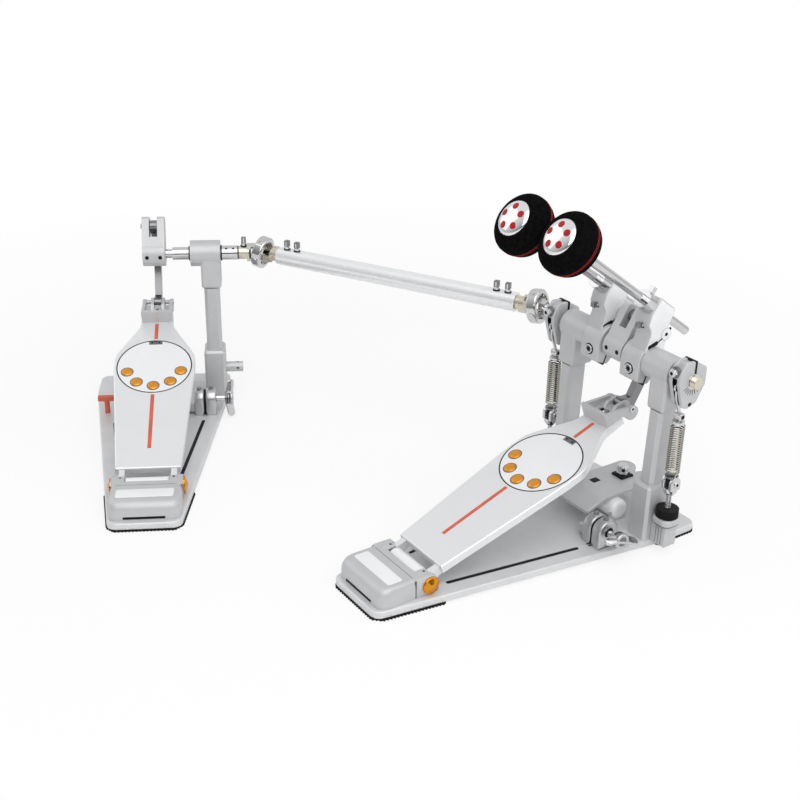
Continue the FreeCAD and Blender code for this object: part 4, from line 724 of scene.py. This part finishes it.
class PEDAL_OT_boards(bpy.types.Operator):
    """Stripes, painted shade in the gap round the disc, toe tab and domed grips of the footboards"""

    bl_idname = "pedal.boards"
    bl_label = "Footboard trim"

    def execute(self, context):
        sizes = context.scene.pedal_boards
        disc_middle, grip_circle, reach = 172.2, 35, sizes.grip_radius / MM
        trim = [("stripe", plate(box_outline((-2.2, near), (2.2, far), 0.8), -0.5, 0.12, 0.1))
                for near, far in ((31.6, 121.7), (222.4, 252))]
        # Black ring round the disc: painted shade in the gap between the disc and its seat.
        rim = hoop([(46.2, -0.4), (47.7, -0.4), (47.7, 0.06), (46.2, 0.06)], 96)
        trim.append(("black", laid(rim, FLAT, (0, disc_middle, 0))))
        trim.append(("shadow", plate(box_outline((-8.3, 212.4), (8.3, 218.4), 1), -2.8, 0.1, 0.3)))
        # Black dots: painted shade in two screw holes.
        trim += [("black", laid(barrel(1.3, -0.2, 0.3, 0.1, 16), FLAT, (side * 4.6, 215.6, 0))) for side in SIDES]
        spread = (np.arange(sizes.grips) - (sizes.grips - 1) / 2) * sizes.pitch
        places = [(grip_circle * math.sin(angle), disc_middle - grip_circle * math.cos(angle), 0) for angle in spread]
        seat = hoop([(reach - 0.5, -0.3), (reach + 1.1, -0.3), (reach + 1.1, 0.12), (reach - 0.5, 0.12)], 32)
        trim += [("shadow", laid(seat, FLAT, place)) for place in places] + toe_trim()
        grips = [("amber", laid(dome(reach, 0, sizes.grip_rise / MM), FLAT, place)) for place in places]
        for pedal in PEDALS:
            body = pedal + "_board"
            make_piece(pedal + "_board_trim", body, on_board(pedal, trim))
            make_piece(pedal + "_grips", body, on_board(pedal, grips), [pedal + "_grip_dots"])
        return {"FINISHED"}


def toe_trim():
    """Bright hexagon bolt in the toe tray and the screw heads on its round ears, with painted shade in their sockets.
    """
    bolt_y, ear_spot = 268, (294, 1)
    # Black dot on the bolt and black hexagons on the ear screws: painted shade in their sockets.
    bolt = [("steel", barrel(7.2, 2.9, 4.1, 0.3, 28)), ("black", barrel(2.5, 9, 9.4, 0.05, 16)),
            ("chrome", plate(ring_outline(5.3, 6, start=0.3), 2.9, 9.3, 0.9))]
    return (all_laid(bolt, FLAT, (0, bolt_y, 0)) + pair_of("chrome", ring_outline(4, 24, ear_spot), 19.4, 20.6, 0.4)
            + pair_of("black", ring_outline(1.7, 6, ear_spot), 20.4, 20.7, 0.05))


class ClampSizes(bpy.types.PropertyGroup):
    """Sizes of the hoop clamps."""

    plate_half: length_prop("Plate half width", "Half of the rocker plate's width", 29)
    plate_thick: length_prop("Plate thickness", "Thickness of the rocker plate", 4.5)
    wing_reach: length_prop("Wing reach", "Length of each arm of the wing screw", 25.5)
    main_lean: angle_prop("Main wing lean", "Lean of the main wing screw's arms at rest", -18)
    slave_lean: angle_prop("Slave wing lean", "Lean of the slave wing screw's arms at rest", 80)
    blade_lean: angle_prop("Blade lean", "Tilt of a wing screw's arms off its axis", 35)


class PEDAL_OT_clamps(bpy.types.Operator):
    """Hoop clamps: bent rocker plate with its bolt, pale cross roller, wedge block and wing screw"""

    bl_idname = "pedal.clamps"
    bl_label = "Hoop clamps"

    def execute(self, context):
        sizes = context.scene.pedal_clamps
        leans = {"main": sizes.main_lean, "slave": sizes.slave_lean}
        for pedal, (_, _, body) in PEDALS.items():
            for name, rider, parts in (("plate", pedal + "_clamp", rocker_parts(sizes)),
                                       ("block", body, block_parts()),
                                       ("wing", pedal + "_wing", wing_parts(sizes, leans[pedal]))):
                make_piece(pedal + "_rocker_" + name, rider, on_pedal(pedal, parts), [pedal + "_clamp_" + name])
        return {"FINISHED"}


def rocker_parts(sizes):
    """Rocker plate: a flat section carried down an S bend at the front, with a lip at the back."""
    half, thick = sizes.plate_half / MM, sizes.plate_thick / MM
    path = smooth_path([(0, 42, 38.75), (0, 0, 38.75), (0, -28, 38.2), (0, -42, 34.5), (0, -52, 30.5), (0, -58, 29)])
    strip = swept(box_outline((-half, -thick / 2), (half, thick / 2), 1.2), path, (1, 0, 0))
    lip = rounded([(27, 37), (34, 22.6), (42, 22.6), (42, 38)], 1.0)
    parts = [("cast", strip), ("cast", sided(plate(lip, -14.5, 14.5, 1)))]
    parts += [("cast", laid(barrel(13, 36.6, 41.6, 1.4, 40), FLAT, (side * 15.5, 41, 0))) for side in SIDES]
    parts += [("black", plate(box_outline((-13, -19), (-4, -8), 1), 40.4, 41.15, 0.1)),
              # Black square round the foot of the bolt's hexagon: painted shade under the hexagon.
              ("black", slab((-9, 13, 40.8), (9, 31, 43.5), 0.5))]
    # Black key hole in the bolt: painted shade in the hole.
    key_hole = laid(barrel(2.2, 5.6, 6.75, 0.1, 16), [(0, 0, 1), (-0.64, -0.77, 0), (0.77, -0.64, 0)], (0, 0, 50.5))
    bolt = [("chrome", barrel(6.5, 43.3, 55, 1.2)), ("chrome", plate(ring_outline(7.6, 6), 43.3, 47.5, 0.8)),
            ("black", key_hole), ("chrome", barrel(3.5, 26, 37, 0.5))]
    return parts + all_laid(bolt, FLAT, (0, 22, 0))


def block_parts():
    """Cross roller between two cheeks, and the wedge block that the wing screw draws on."""
    parts = [("roller", sided(laid(barrel(12, -39, 39, 6, 48), FLAT, (-15, 24, 0))))]
    cheek = rounded([(-27, BASE_TOP), (-3, BASE_TOP), (-3, 24), (-15, 35), (-27, 24)], (1, 1, 6, 9, 6))
    parts += pair_of("cast", cheek, 31.5, 36.5, 1)
    wedge = rounded([(-80, BASE_TOP), (-52, BASE_TOP), (-52, 43), (-80, 43)], (1, 1, 13.5, 13.5), 10)
    parts += [("zinc", sided(plate(wedge, 46, 58, 1.6))), ("zinc", sided(plate(wedge, 61, 74, 1.6))),
              # Black plate between the two jaws: painted shade in the gap between them.
              ("black", sided(plate(inset(counted_left(wedge), 1.6), 57.5, 61.5, 0.2))),
              # Black ring on the outer jaw: painted shade in the hole round the wing screw.
              ("black", sided(plate(ring_outline(6.2, 28, WING_SPOT), 73.8, 74.3, 0.1))),
              ("zinc", sided(plate(rounded([(-74, 12), (-58, 12), (-58, 26), (-74, 26)], 2), 34, 47, 1.5)))]
    bolt = barrel(3.2, 42, 45, 0.5, 20)
    return parts + [("steel", laid(bolt, FLAT, (across, WING_SPOT[0], 0))) for across in (52, 67.5)]


def wing_parts(sizes, lean):
    """Wing screw: two flat arms that lean over against the screw's axis, with a ring hub round the screw's end."""
    reach = sizes.wing_reach / MM
    place, blade_out = np.array([0, *WING_SPOT]), 93
    blade = rounded([(-reach, -3), (-9, -7), (9, -7), (reach, -3), (reach, 6.5), (10, 4), (-10, 4), (-reach, 6.5)],
                    (4.5, 3, 3, 4.5, 4.5, 6, 6, 4.5))
    radial = np.array([0, math.cos(lean), math.sin(lean)])
    axial = np.array([1.0, 0, 0])
    wide = math.cos(sizes.blade_lean) * axial - math.sin(sizes.blade_lean) * np.cross(axial, radial)
    axes = np.stack((radial, wide, np.cross(radial, wide)))
    hub = [("steel", barrel(8.5, 86, 92, 0.8)), ("chrome", barrel(4, 60, 88, 0.6)),
           ("zinc", hoop(ring_outline(2.2, 12, (7.4, 94.6)), 40)), ("shadow", barrel(6, 91, 96, 0.6)),
           ("black", hoop(ring_outline(0.6, 8, (8.3, 89)), 32))]
    arms = ("chrome", laid(plate(blade, -1.9, 1.9, 1.2), axes, place + blade_out * axial))
    return [arms] + all_laid(hub, SIDEWAYS, place)


class PEDAL_OT_holders(bpy.types.Operator):
    """Beater holders: split ring on the axle, polished arm, set screws and square key bolt"""

    bl_idname = "pedal.holders"
    bl_label = "Beater holders"

    def execute(self, context):
        for side, low, high, arm_low, arm_high, body in (("right", 17.5, 46.5, 24.5, 46.5, "main_axle"),
                                                         ("left", -46.5, -17.5, -46.5, -24.5, "left_axle")):
            make_piece(side + "_holder_casting", body, holder_parts(low, high, arm_low, arm_high),
                       [side + "_holder"])
        return {"FINISHED"}


def holder_parts(low, high, arm_low, arm_high):
    """One holder, drawn in side view about the axle."""
    lean = math.radians(54.2)
    along = np.array([-math.sin(lean), math.cos(lean)])
    off = np.array([math.cos(lean), math.sin(lean)])
    arm = rounded([(-15, 9), (-6, 33), (-11, 43), 38 * along + 39.4 * off, 38 * along + 61.4 * off,
                   8 * along + 61.4 * off, (21, 38), (17, 7)], (4, 8, 4, 2.5, 2.5, 6, 9, 4))
    ear = rounded([(-19, 6), (-19, -21), (-3, -27), (8, -16), (14, 0)], (4, 3, 3, 4, 6))
    face_plate = inset(counted_left(arm), 1.5)
    # Black slab across the ring: painted shade in its split.
    split = slab((-0.9, -28, low - 0.1), (0.9, -10, high + 0.1), 0.1)
    parts = [("cast", barrel(19, low, high, 2.2, 56)), ("cast", plate(ear, low + 0.2, high - 0.2, 1.6)),
             ("cast", plate(arm, arm_low + 0.1, arm_high - 0.1, 1.6)),
             ("polished", plate(face_plate, arm_low - 0.2, arm_low + 0.2, 0.1)),
             ("polished", plate(face_plate, arm_high - 0.2, arm_high + 0.2, 0.1)),
             ("black", laid(split, spun(math.radians(-20))))]
    parts = all_laid(parts + keyhole_parts(arm_high), SIDEWAYS, (0, 0, AXLE_HEIGHT))
    # Set screw: black ring of painted shade in the recess round it, and a black hexagon of painted shade in its
    # socket.
    set_screw = [("black", barrel(6.6, 15, 19.2, 0.2, 28)), ("shadow", barrel(4.4, 15, 20, 0.5, 24)),
                 ("chrome", hoop(ring_outline(0.9, 10, (4.6, 19.9)), 28)),
                 ("black", plate(ring_outline(2.6, 6), 19.8, 20.2, 0.05))]
    key_bolt = [("black", barrel(4.6, 2, 9.2, 0.3, 24)), ("chrome", barrel(3.4, 4, 12, 0.4, 24)),
                ("steel", slab((-2.9, -2.9, 10.6), (2.9, 2.9, 17), 0.5)),
                ("chrome", slab((-0.7, -3, 12), (0.7, 3, 16.4), 0.2))]
    return (parts + all_laid(set_screw, FACING, ((low + high) / 2, 0, AXLE_HEIGHT - 9))
            + all_laid(key_bolt, FACING, ((arm_low + arm_high) / 2, 0, AXLE_HEIGHT + 41.8)))


def keyhole_parts(face):
    """Cut in a holder's right face: a drop beside the axle, a slit and a relief hole in a round boss, drawn as black
    plates of painted shade.
    """
    low, high = face - 0.4, face + 0.3
    middle = (17.3, 28.1)
    boss = plate(ring_outline(7, 36, middle), low, face + 0.5, 0.3)
    rim = laid(hoop([(6.8, low), (7.3, low), (7.3, high), (6.8, high)], 36), FLAT, (*middle, 0))
    cuts = [capsule((-6, 17.5), (3.5, 20.5), 2.4), capsule((4, 20), (11.5, 24), 0.6), ring_outline(2.1, 20, middle),
            ring_outline(1.3, 16, (22.8, 33.8))]
    parts = [("polished", boss), ("shadow", rim)]
    return parts + [("black", plate(outline, low, face + 0.7, 0.05)) for outline in cuts]


class PEDAL_OT_spring_cams(bpy.types.Operator):
    """Split cams on the axle ends, with groove, clamp screw and an engraved scale"""

    bl_idname = "pedal.spring_cams"
    bl_label = "Spring cams"

    def execute(self, context):
        for side, middle, body in (("right", SPRING_X, "main_axle"), ("left", -SPRING_X, "left_axle")):
            make_piece(side + "_cam_casting", body, spring_cam_parts(middle), [side + "_spring_cam"])
        return {"FINISHED"}


def spring_cam_parts(middle):
    """One cam, drawn in side view about the axle. Two cheeks stand either side of the groove, whose bed, walls and
    split are black plates of painted shade.
    """
    outline = rounded([(-11.6, 23.5), (1.8, 22.3), (18.5, 12.9), (18.5, -6.2), (7.4, -26.4), (-5.3, -31),
                       (-12.6, -27.9), (-21, 0), (-21, 11.7)], (4, 2, 5, 6, 6, 5, 5, 7, 5))
    head = rounded([(-10.5, 21.5), (1.5, 20.5), (16.5, 11.5), (16.5, 4), (-19, 4), (-19, 11)], (3, 2, 3, 1, 1, 3))
    groove = rounded([(-19.4, 6), (8, 6), (8, -22), (-5.5, -29.8), (-11.9, -27), (-20, 0)], 1)
    bed = rounded([(-9.5, 4.5), (16, 4.5), (16, -5.5), (12, -16), (-9.5, -2.8)], 1)
    low, high = middle - 8, middle + 8
    parts = [("cast", plate(outline, low, low + 4.7, 1.2)), ("cast", plate(outline, high - 4.7, high, 1.2)),
             ("cast", plate(head, low + 4, high - 4, 0.4)), ("black", plate(bed, low + 4, high - 4, 0.2)),
             ("black", plate(groove, low + 4.4, low + 5, 0.2)), ("black", plate(groove, high - 5, high - 4.4, 0.2)),
             ("black", slab((-0.6, 8, low - 0.12), (2.6, 22.8, high + 0.12), 0.1)),
             ("chrome", laid(barrel(2, low + 1, high - 1, 0.2, 20), FLAT, (-15, -6.2, 0))),
             # Black ring: painted shade in a hole.
             ("black", plate(ring_outline(2.4, 24, (-2, -26)), high - 0.5, high + 0.12, 0.05)),
             ("chrome", hoop([(6.2, high - 0.3), (8.6, high - 0.3), (8.6, high + 0.5), (6.2, high + 0.5)], 40))]
    for turn in np.radians(np.arange(-150, -59, 15)):
        way = np.array([math.cos(turn), math.sin(turn)])
        parts.append(("black", plate(capsule(10 * way, 15 * way, 0.4), high - 0.4, high + 0.1, 0.05)))
    # Black hexagon: painted shade in the screw's socket.
    screw = [("shadow", barrel(6.4, 18, 21.5, 0.4, 28)), ("chrome", plate(ring_outline(5, 6), 20, 26.5, 1.2)),
             ("black", plate(ring_outline(2.2, 6), 26.2, 26.7, 0.05))]
    return (all_laid(parts, SIDEWAYS, (0, 0, AXLE_HEIGHT))
            + all_laid(screw, FACING, (middle, 0, AXLE_HEIGHT + 12.5)))


class PEDAL_OT_drive_cams(bpy.types.Operator):
    """Black discs of painted shade over the holes in the fronts of the drive cams"""

    bl_idname = "pedal.drive_cams"
    bl_label = "Drive cam screws"

    def execute(self, context):
        # Painted shade: a black disc over each hole in a cam's front.
        screw = barrel(2.6, 14, 16.15, 0.1, 20)
        screws = [("black", laid(screw, FACING, (side * 8.5, 0, AXLE_HEIGHT))) for side in SIDES]
        for pedal in PEDALS:
            make_piece(pedal + "_cam_screws", pedal + "_axle", on_pedal(pedal, screws))
        return {"FINISHED"}


class PEDAL_OT_springs(bpy.types.Operator):
    """Hooks above the return springs, clevis anchors on threaded rods below them, and the ridged axle end"""

    bl_idname = "pedal.springs"
    bl_label = "Spring fittings"

    def execute(self, context):
        anchors = []
        for side, sign in (("right", 1), ("left", -1)):
            place = (sign * SPRING_X, SPRING_Y, 0)
            make_piece(side + "_spring_hook", side + "_hook", all_laid(hook_parts(), FLAT, place), [side + "_hook"])
            anchors += all_laid(anchor_parts(sign), FLAT, place)
        make_piece("spring_seats", "frame", anchors, ["spring_anchors"])
        ridge = np.arange(108.6, 115.9, 0.9)
        thread = np.stack((np.where(np.arange(len(ridge)) % 2, 6.0, 6.7), ridge), axis=1)
        make_piece("axle_thread", "main_axle", [("bronze", sided(turned(thread, 32), AXLE_HEIGHT))])
        return {"FINISHED"}


def hook_parts():
    """One hook about the spring's own axis: an eye on the cam's pin, a bent bar and a bored block over the
    spring."""
    eye = laid(hoop(ring_outline(1.3, 10, (3.6, 0)), 28), SIDEWAYS, (0, -8.5, 203.8))
    bar = smooth_path([(0, -8.5, 200.2), (0, -7.4, 190), (0, -3, 179), (0, 0, 170)])
    # Black bar through the block: painted shade in its bore.
    cross = laid(barrel(2.4, -5.4, 5.4, 0.1, 20), SIDEWAYS, (0, 0, 168.6))
    return [("chrome", eye), ("chrome", swept(box_outline((-1.7, -1.6), (1.7, 1.6), 1.1), bar, (1, 0, 0))),
            ("chrome", slab((-5, -4.2, 164.8), (5, 4.2, 172), 1.4)), ("black", cross),
            ("chrome", turned([(7, 160), (7, 161.5), (6.6, 163), (3.2, 164.5), (3.2, 167)], 32)),
            ("black", hoop(ring_outline(0.5, 8, (3.4, 165)), 28))]


def anchor_parts(sign):
    """One anchor about the spring's own axis: clevis with cross bolt, threaded rod, seat and ribbed pillar."""
    cheek = rounded([(-7, 80), (7, 80), (7, 91), (3, 96.6), (-3, 96.6), (-7, 91)], (2, 2, 3, 2, 2, 3))
    thread = np.arange(45.0, 75.0, 1.0)
    ridges = np.where(np.arange(len(thread)) % 2, 2.6, 3.1)
    # Black bar in the clevis's lower body: painted shade in its socket.
    rod_hole = laid(barrel(1.6, 0, 7.9, 0.05, 16), [(0, 0, 1), (-0.6, -0.8, 0), (0.8, -0.6, 0)], (0, 0, 79))
    pillar = sorted((-13.5 * sign, 9 * sign))
    parts = pair_of("chrome", cheek, 3.4, 8, 1)
    # Black slab between the cheeks: painted shade in the clevis's gap. The black core of the cross bolt shows as
    # painted shade in its bore at both ends.
    parts += [("black", slab((-3.6, -5, 82), (3.6, 5, 93), 0.4)),
             ("chrome", laid(barrel(3.8, -9.6, 9.6, 0.8, 24), SIDEWAYS, (0, 0, 88))),
             ("black", laid(barrel(1.8, -9.8, 9.8, 0.05, 16), SIDEWAYS, (0, 0, 88))),
             ("chrome", turned([(3.2, 73), (5.4, 74), (7.6, 77), (8, 80), (7.6, 82)], 36)),
             ("black", rod_hole), ("steel", barrel(7.6, 94.6, 97, 0.6, 32)),
             ("chrome", turned(np.stack((ridges, thread), axis=1), 24)),
             ("cast", plate(box_outline((-13, -13), (13, 13), 8), 37.6, 45.4, 2.2)),
             ("shadow", plate(box_outline((-12, -12), (12, 12), 7), 36.8, 38.2, 0.1)),
             ("cast", slab((pillar[0], -9, BASE_TOP), (pillar[1], 9, 37.2), 1.5))]
    rib = slab((-0.4, -9.2, 13), (0.4, -8.8, 34), 0.05)
    return parts + [("shadow", laid(rib, FLAT, (across, 0, 0))) for across in (-5, -1, 3)]


class PEDAL_OT_shafts(bpy.types.Operator):
    """Sleeves and collar of the second pedal's axle, and the key bolts on the drive tube"""

    bl_idname = "pedal.shafts"
    bl_label = "Shaft trim"

    def execute(self, context):
        sleeves = [("black", barrel(radius, low, high, 0.2, 40))
                   for radius, low, high in ((9.6, 44.9, 46), (10.2, 86.6, 88.2), (8.9, 108.5, 110), (8.9, 124, 126))]
        sleeves.append(("bronze", barrel(8.9, 110, 124, 0.5, 40)))
        axle = all_laid(sleeves, SIDEWAYS, (0, 0, AXLE_HEIGHT))
        # Black discs on the axle: painted shade in its two holes.
        hole = laid(barrel(1.5, 8.8, 9.55, 0.05, 16), tilted(38))
        axle += [("black", laid(hole, FLAT, (across, 0, AXLE_HEIGHT))) for across in (94, 103)]
        axle += all_laid(key_bolt_parts(), FLAT, (117, 0, AXLE_HEIGHT + 1))
        make_piece("slave_axle_trim", "slave_axle", on_pedal("slave", axle))
        span = np.linalg.norm((SHAFT_SPOT - TUBE_SPOT) * FLOOR)
        bolt_lift, bolts = 2.6, []
        for along in (-39, -54, 54 - span, 39 - span):
            bolt = all_laid(key_bolt_parts(), FLAT, (along, 0, bolt_lift))
            bolts += all_laid(bolt, axes_along(TUBE_WAY), TUBE_SPOT)
        make_piece("tube_bolts", "drive_tube", bolts)
        return {"FINISHED"}


def key_bolt_parts():
    """One key bolt above a shaft's middle line: dark flange, bright neck, and a square head with a bright slit."""
    return [("black", barrel(4.4, 7.2, 9.2, 0.3, 24)), ("chrome", barrel(3.4, 8, 13, 0.6, 20)),
            ("steel", slab((-3.1, -3.1, 11.8), (3.1, 3.1, 20), 0.6)),
            ("chrome", slab((-0.8, -3.25, 13), (0.8, 3.25, 19.2), 0.2))]


class BeaterSizes(bpy.types.PropertyGroup):
    """Sizes of the beater heads."""

    felt_radius: length_prop("Felt radius", "Widest radius of the felt head", 33.8)
    felt_long: length_prop("Felt length", "Length of the felt head along its rod", 31.5)
    cap_radius: length_prop("Cap radius", "Radius of the domed cap", 19.8)
    cap_rise: length_prop("Cap rise", "Height of the dome", 5.6)
    spots: IntProperty(name="Spots", description="Round marks on the cap, round its rim", default=5, min=0)


class PEDAL_OT_beaters(bpy.types.Operator):
    """Felt heads with two seam rings and a domed cap with round marks"""

    bl_idname = "pedal.beaters"
    bl_label = "Beaters"

    def execute(self, context):
        sizes = context.scene.pedal_beaters
        for side, sign in (("right", 1), ("left", -1)):
            make_beater(side, sign, sizes)
        return {"FINISHED"}


def make_beater(side, sign, sizes):
    """One head about its rod. The felt's radius swells from both ends as a smooth barrel."""
    rod_x, rod_off, felt_low = 35.5, 50.4, 173.5
    way = np.array(joint(side + "_beater_reach")["axis"])
    foot = np.array([sign * rod_x, 0, AXLE_HEIGHT]) + rod_off * np.array([0, way[2], -way[1]])
    across = np.array([1.0, 0, 0])
    axes = np.stack((across, np.cross(way, across), way))
    long, radius = sizes.felt_long / MM, sizes.felt_radius / MM
    share = np.array([0.0, 0.0, 0.02, 0.07, 0.16, 0.25, 0.33, 0.41, 0.51, 0.61, 0.69, 0.77, 0.85, 0.92, 0.97, 1.0,
                      1.0])
    width = np.array([0.3, 0.79, 0.85, 0.9, 0.94, 0.965, 0.98, 0.993, 1.0, 0.995, 0.97, 0.925, 0.855, 0.76, 0.67,
                      0.6, 0.3])
    parts = [("felt", turned(np.stack((width * radius, felt_low + share * long), axis=1), 72))]
    for at in (0.34, 0.41):
        spot = (np.interp(at, share, width) * radius, felt_low + at * long)
        parts.append(("red", hoop(ring_outline(0.28, 8, spot), 72)))
    make_piece(side + "_felt", side + "_beater", all_laid(parts, axes, foot), [side + "_beater_felt"])
    top, cap_radius, rise = felt_low + long, sizes.cap_radius / MM, sizes.cap_rise / MM
    cap_low, first_angle, spot_radius, spot_out = top - 0.2, 0.5, 3.8, 0.6 * cap_radius
    parts = [("mirror", dome(cap_radius, cap_low, rise, 56, 10)),
             ("black", hoop(ring_outline(0.5, 8, (cap_radius, top)), 56))]
    for angle in first_angle + ROUND * np.arange(sizes.spots) / sizes.spots:
        parts.append(("red", cap_spot(spot_radius, spot_out, angle, cap_low, cap_radius, rise)))
    make_piece(side + "_cap", side + "_beater", all_laid(parts, axes, foot), [side + "_beater_cap"])


def cap_spot(radius, out, angle, low, cap_radius, rise):
    """Round mark that lies on the dome: its points rise with the squashed ball under them."""
    spot = barrel(radius, 0, 0.35, 0.15, 24)
    centre = out * np.array([math.cos(angle), math.sin(angle)])
    flat = spot.points[:, :2] + centre
    share = np.clip(np.sum(flat ** 2, axis=1) / cap_radius ** 2, 0, 0.999)
    height = low + rise * np.sqrt(1 - share) + spot.points[:, 2]
    return spot._replace(points=np.column_stack((flat, height)))


class StageSettings(bpy.types.PropertyGroup):
    """Camera and light of the studio."""

    azimuth: angle_prop("Azimuth", "Camera's turn round the pedal", 55.43)
    elevation: angle_prop("Elevation", "Camera's height above the horizon", 25.6)
    roll: angle_prop("Roll", "Camera's lean", 1.09)
    distance: length_prop("Distance", "Camera's distance from its target", 1699.95)
    lens: FloatProperty(name="Lens", description="Focal length in millimetres", default=56.22)
    target: FloatVectorProperty(name="Target", description="Point that the camera looks at", unit="LENGTH", size=3,
                                default=(-0.34844, -0.05796, 0.0178))


class PEDAL_OT_stage(bpy.types.Operator):
    """Pale floor, soft lamps and the camera at the photograph's angle"""

    bl_idname = "pedal.stage"
    bl_label = "Studio"

    def execute(self, context):
        settings = context.scene.pedal_stage
        place_camera(settings)
        make_floor()
        light_world(context.scene, settings.azimuth)
        target = Vector(settings.target)
        place_lamp("key_lamp", (1.5, -0.9, 2.6), target, 3.6, 72)
        place_lamp("fill_lamp", (-2.6, -1.6, 1.6), target, 2.0, 8)
        place_lamp("rim_lamp", (1.6, 2.2, 1.9), target, 2.4, 14)
        context.scene.view_settings.view_transform = "Standard"
        return {"FINISHED"}


def place_camera(settings):
    """Camera on a ball round its target, leaned about its own line of sight."""
    turn, lift, roll = settings.azimuth, settings.elevation, settings.roll
    back = Vector((math.sin(turn) * math.cos(lift), -math.cos(turn) * math.cos(lift), math.sin(lift)))
    right = Vector((math.cos(turn), math.sin(turn), 0))
    up = back.cross(right)
    leaned_right = right * math.cos(roll) + up * math.sin(roll)
    leaned_up = up * math.cos(roll) - right * math.sin(roll)
    data = bpy.data.cameras.new("camera")
    data.lens = settings.lens
    data.sensor_width = 36
    camera = bpy.data.objects.new("camera", data)
    place = Matrix((leaned_right, leaned_up, back)).transposed().to_4x4()
    place.translation = Vector(settings.target) + back * settings.distance
    camera.matrix_world = place
    bpy.context.scene.collection.objects.link(camera)
    bpy.context.scene.camera = camera


def make_floor():
    """Wide pale floor."""
    reach = 30.0
    mesh = bpy.data.meshes.new("floor")
    corners = [(-reach, -reach, 0), (reach, -reach, 0), (reach, reach, 0), (-reach, reach, 0)]
    mesh.from_pydata(corners, [], [(0, 1, 2, 3)])
    mesh.materials.append(make_floor_finish())
    floor = bpy.data.objects.new("floor", mesh)
    bpy.context.scene.collection.objects.link(floor)


def make_floor_finish():
    """Matt pale floor with the least roughness change. Away from the pedal it fades into plain white for the
    camera alone, so that no horizon shows."""
    made = new_finish("floor")
    made.fix("Base Color", (0.97, 0.97, 0.97, 1))
    made.feed("Roughness", made.spread(made.noise(8.0), 0.85, 0.95))
    spot = made.add("ShaderNodeTexCoord")
    away = made.measure("DISTANCE", spot.outputs["Object"], (-0.32, -0.2, 0))
    fade = made.spread(away, 0.75, 1.0, middle=0.8, width=0.35)
    ray = made.add("ShaderNodeLightPath")
    share = made.join("MULTIPLY", fade, ray.outputs["Is Camera Ray"])
    white = made.add("ShaderNodeEmission", Strength=1.0)
    made.end_between("Material Output", share, made.shader.outputs[0], white.outputs[0])
    return made.owner


def light_world(scene, turn):
    """Even pale light all round. The camera meets plain white. Glossy and see-through rays meet the same white
    overhead and behind the pedal, and it falls off towards the dim side of the room that the front faces."""
    world = bpy.data.worlds.new("studio")
    scene.world = world
    made = Nodes(world)
    lit = made.tree.nodes["Background"]
    lit.inputs["Strength"].default_value = 0.46
    lit.inputs["Color"].default_value = (1, 1, 1, 1)
    spot = made.add("ShaderNodeTexCoord")
    bright_side = (-0.8 * math.sin(turn), 0.8 * math.cos(turn), 0.6)
    facing = made.measure("DOT_PRODUCT", spot.outputs["Generated"], bright_side)
    fall = made.spread(facing, 0.15, 1.0, middle=-0.1, width=0.6)
    ray = made.add("ShaderNodeLightPath")
    camera_ray = ray.outputs["Is Camera Ray"]
    seen = made.add("ShaderNodeBackground")
    made.link(made.join("MAXIMUM", fall, camera_ray), seen.inputs["Strength"])
    shiny = made.join("MAXIMUM", ray.outputs["Is Glossy Ray"], ray.outputs["Is Transmission Ray"])
    any_ray = made.join("MAXIMUM", camera_ray, shiny)
    made.end_between("World Output", any_ray, lit.outputs[0], seen.outputs[0])


def place_lamp(name, spot, target, width, watts):
    """Square soft lamp that faces the target."""
    data = bpy.data.lights.new(name, "AREA")
    data.size = width
    data.energy = watts
    lamp = bpy.data.objects.new(name, data)
    lamp.location = spot
    lamp.rotation_euler = (target - Vector(spot)).to_track_quat("-Z", "Y").to_euler()
    bpy.context.scene.collection.objects.link(lamp)


OPERATORS = (PEDAL_OT_finishes, PEDAL_OT_heels, PEDAL_OT_hinges, PEDAL_OT_floor_plates, PEDAL_OT_boards,
             PEDAL_OT_clamps, PEDAL_OT_holders, PEDAL_OT_drive_cams, PEDAL_OT_spring_cams, PEDAL_OT_springs,
             PEDAL_OT_shafts, PEDAL_OT_beaters, PEDAL_OT_stage)
GROUPS = {"pedal_colours": PedalColours, "pedal_heels": HeelSizes, "pedal_boards": BoardSizes,
          "pedal_clamps": ClampSizes, "pedal_beaters": BeaterSizes, "pedal_stage": StageSettings}


class PEDAL_PT_panel(bpy.types.Panel):
    """Lists the steps that dress the pedal"""

    bl_idname = "PEDAL_PT_panel"
    bl_label = "Drum pedal"
    bl_space_type = "VIEW_3D"
    bl_region_type = "UI"
    bl_category = "Pedal"

    def draw(self, context):
        for operator in OPERATORS:
            self.layout.operator(operator.bl_idname)


def register():
    """Adds the classes and hangs the settings on the scene."""
    for made in (*GROUPS.values(), *OPERATORS, PEDAL_PT_panel):
        bpy.utils.register_class(made)
    for name, group in GROUPS.items():
        setattr(bpy.types.Scene, name, PointerProperty(type=group))


def unregister():
    """Takes the settings and classes away again."""
    for name in GROUPS:
        delattr(bpy.types.Scene, name)
    for made in (PEDAL_PT_panel, *reversed(OPERATORS), *reversed(GROUPS.values())):
        bpy.utils.unregister_class(made)


def main():
    """Dresses the pedal step by step."""
    register()
    for operator in OPERATORS:
        family, name = operator.bl_idname.split(".")
        getattr(getattr(bpy.ops, family), name)()


if __name__ == "__main__":
    main()
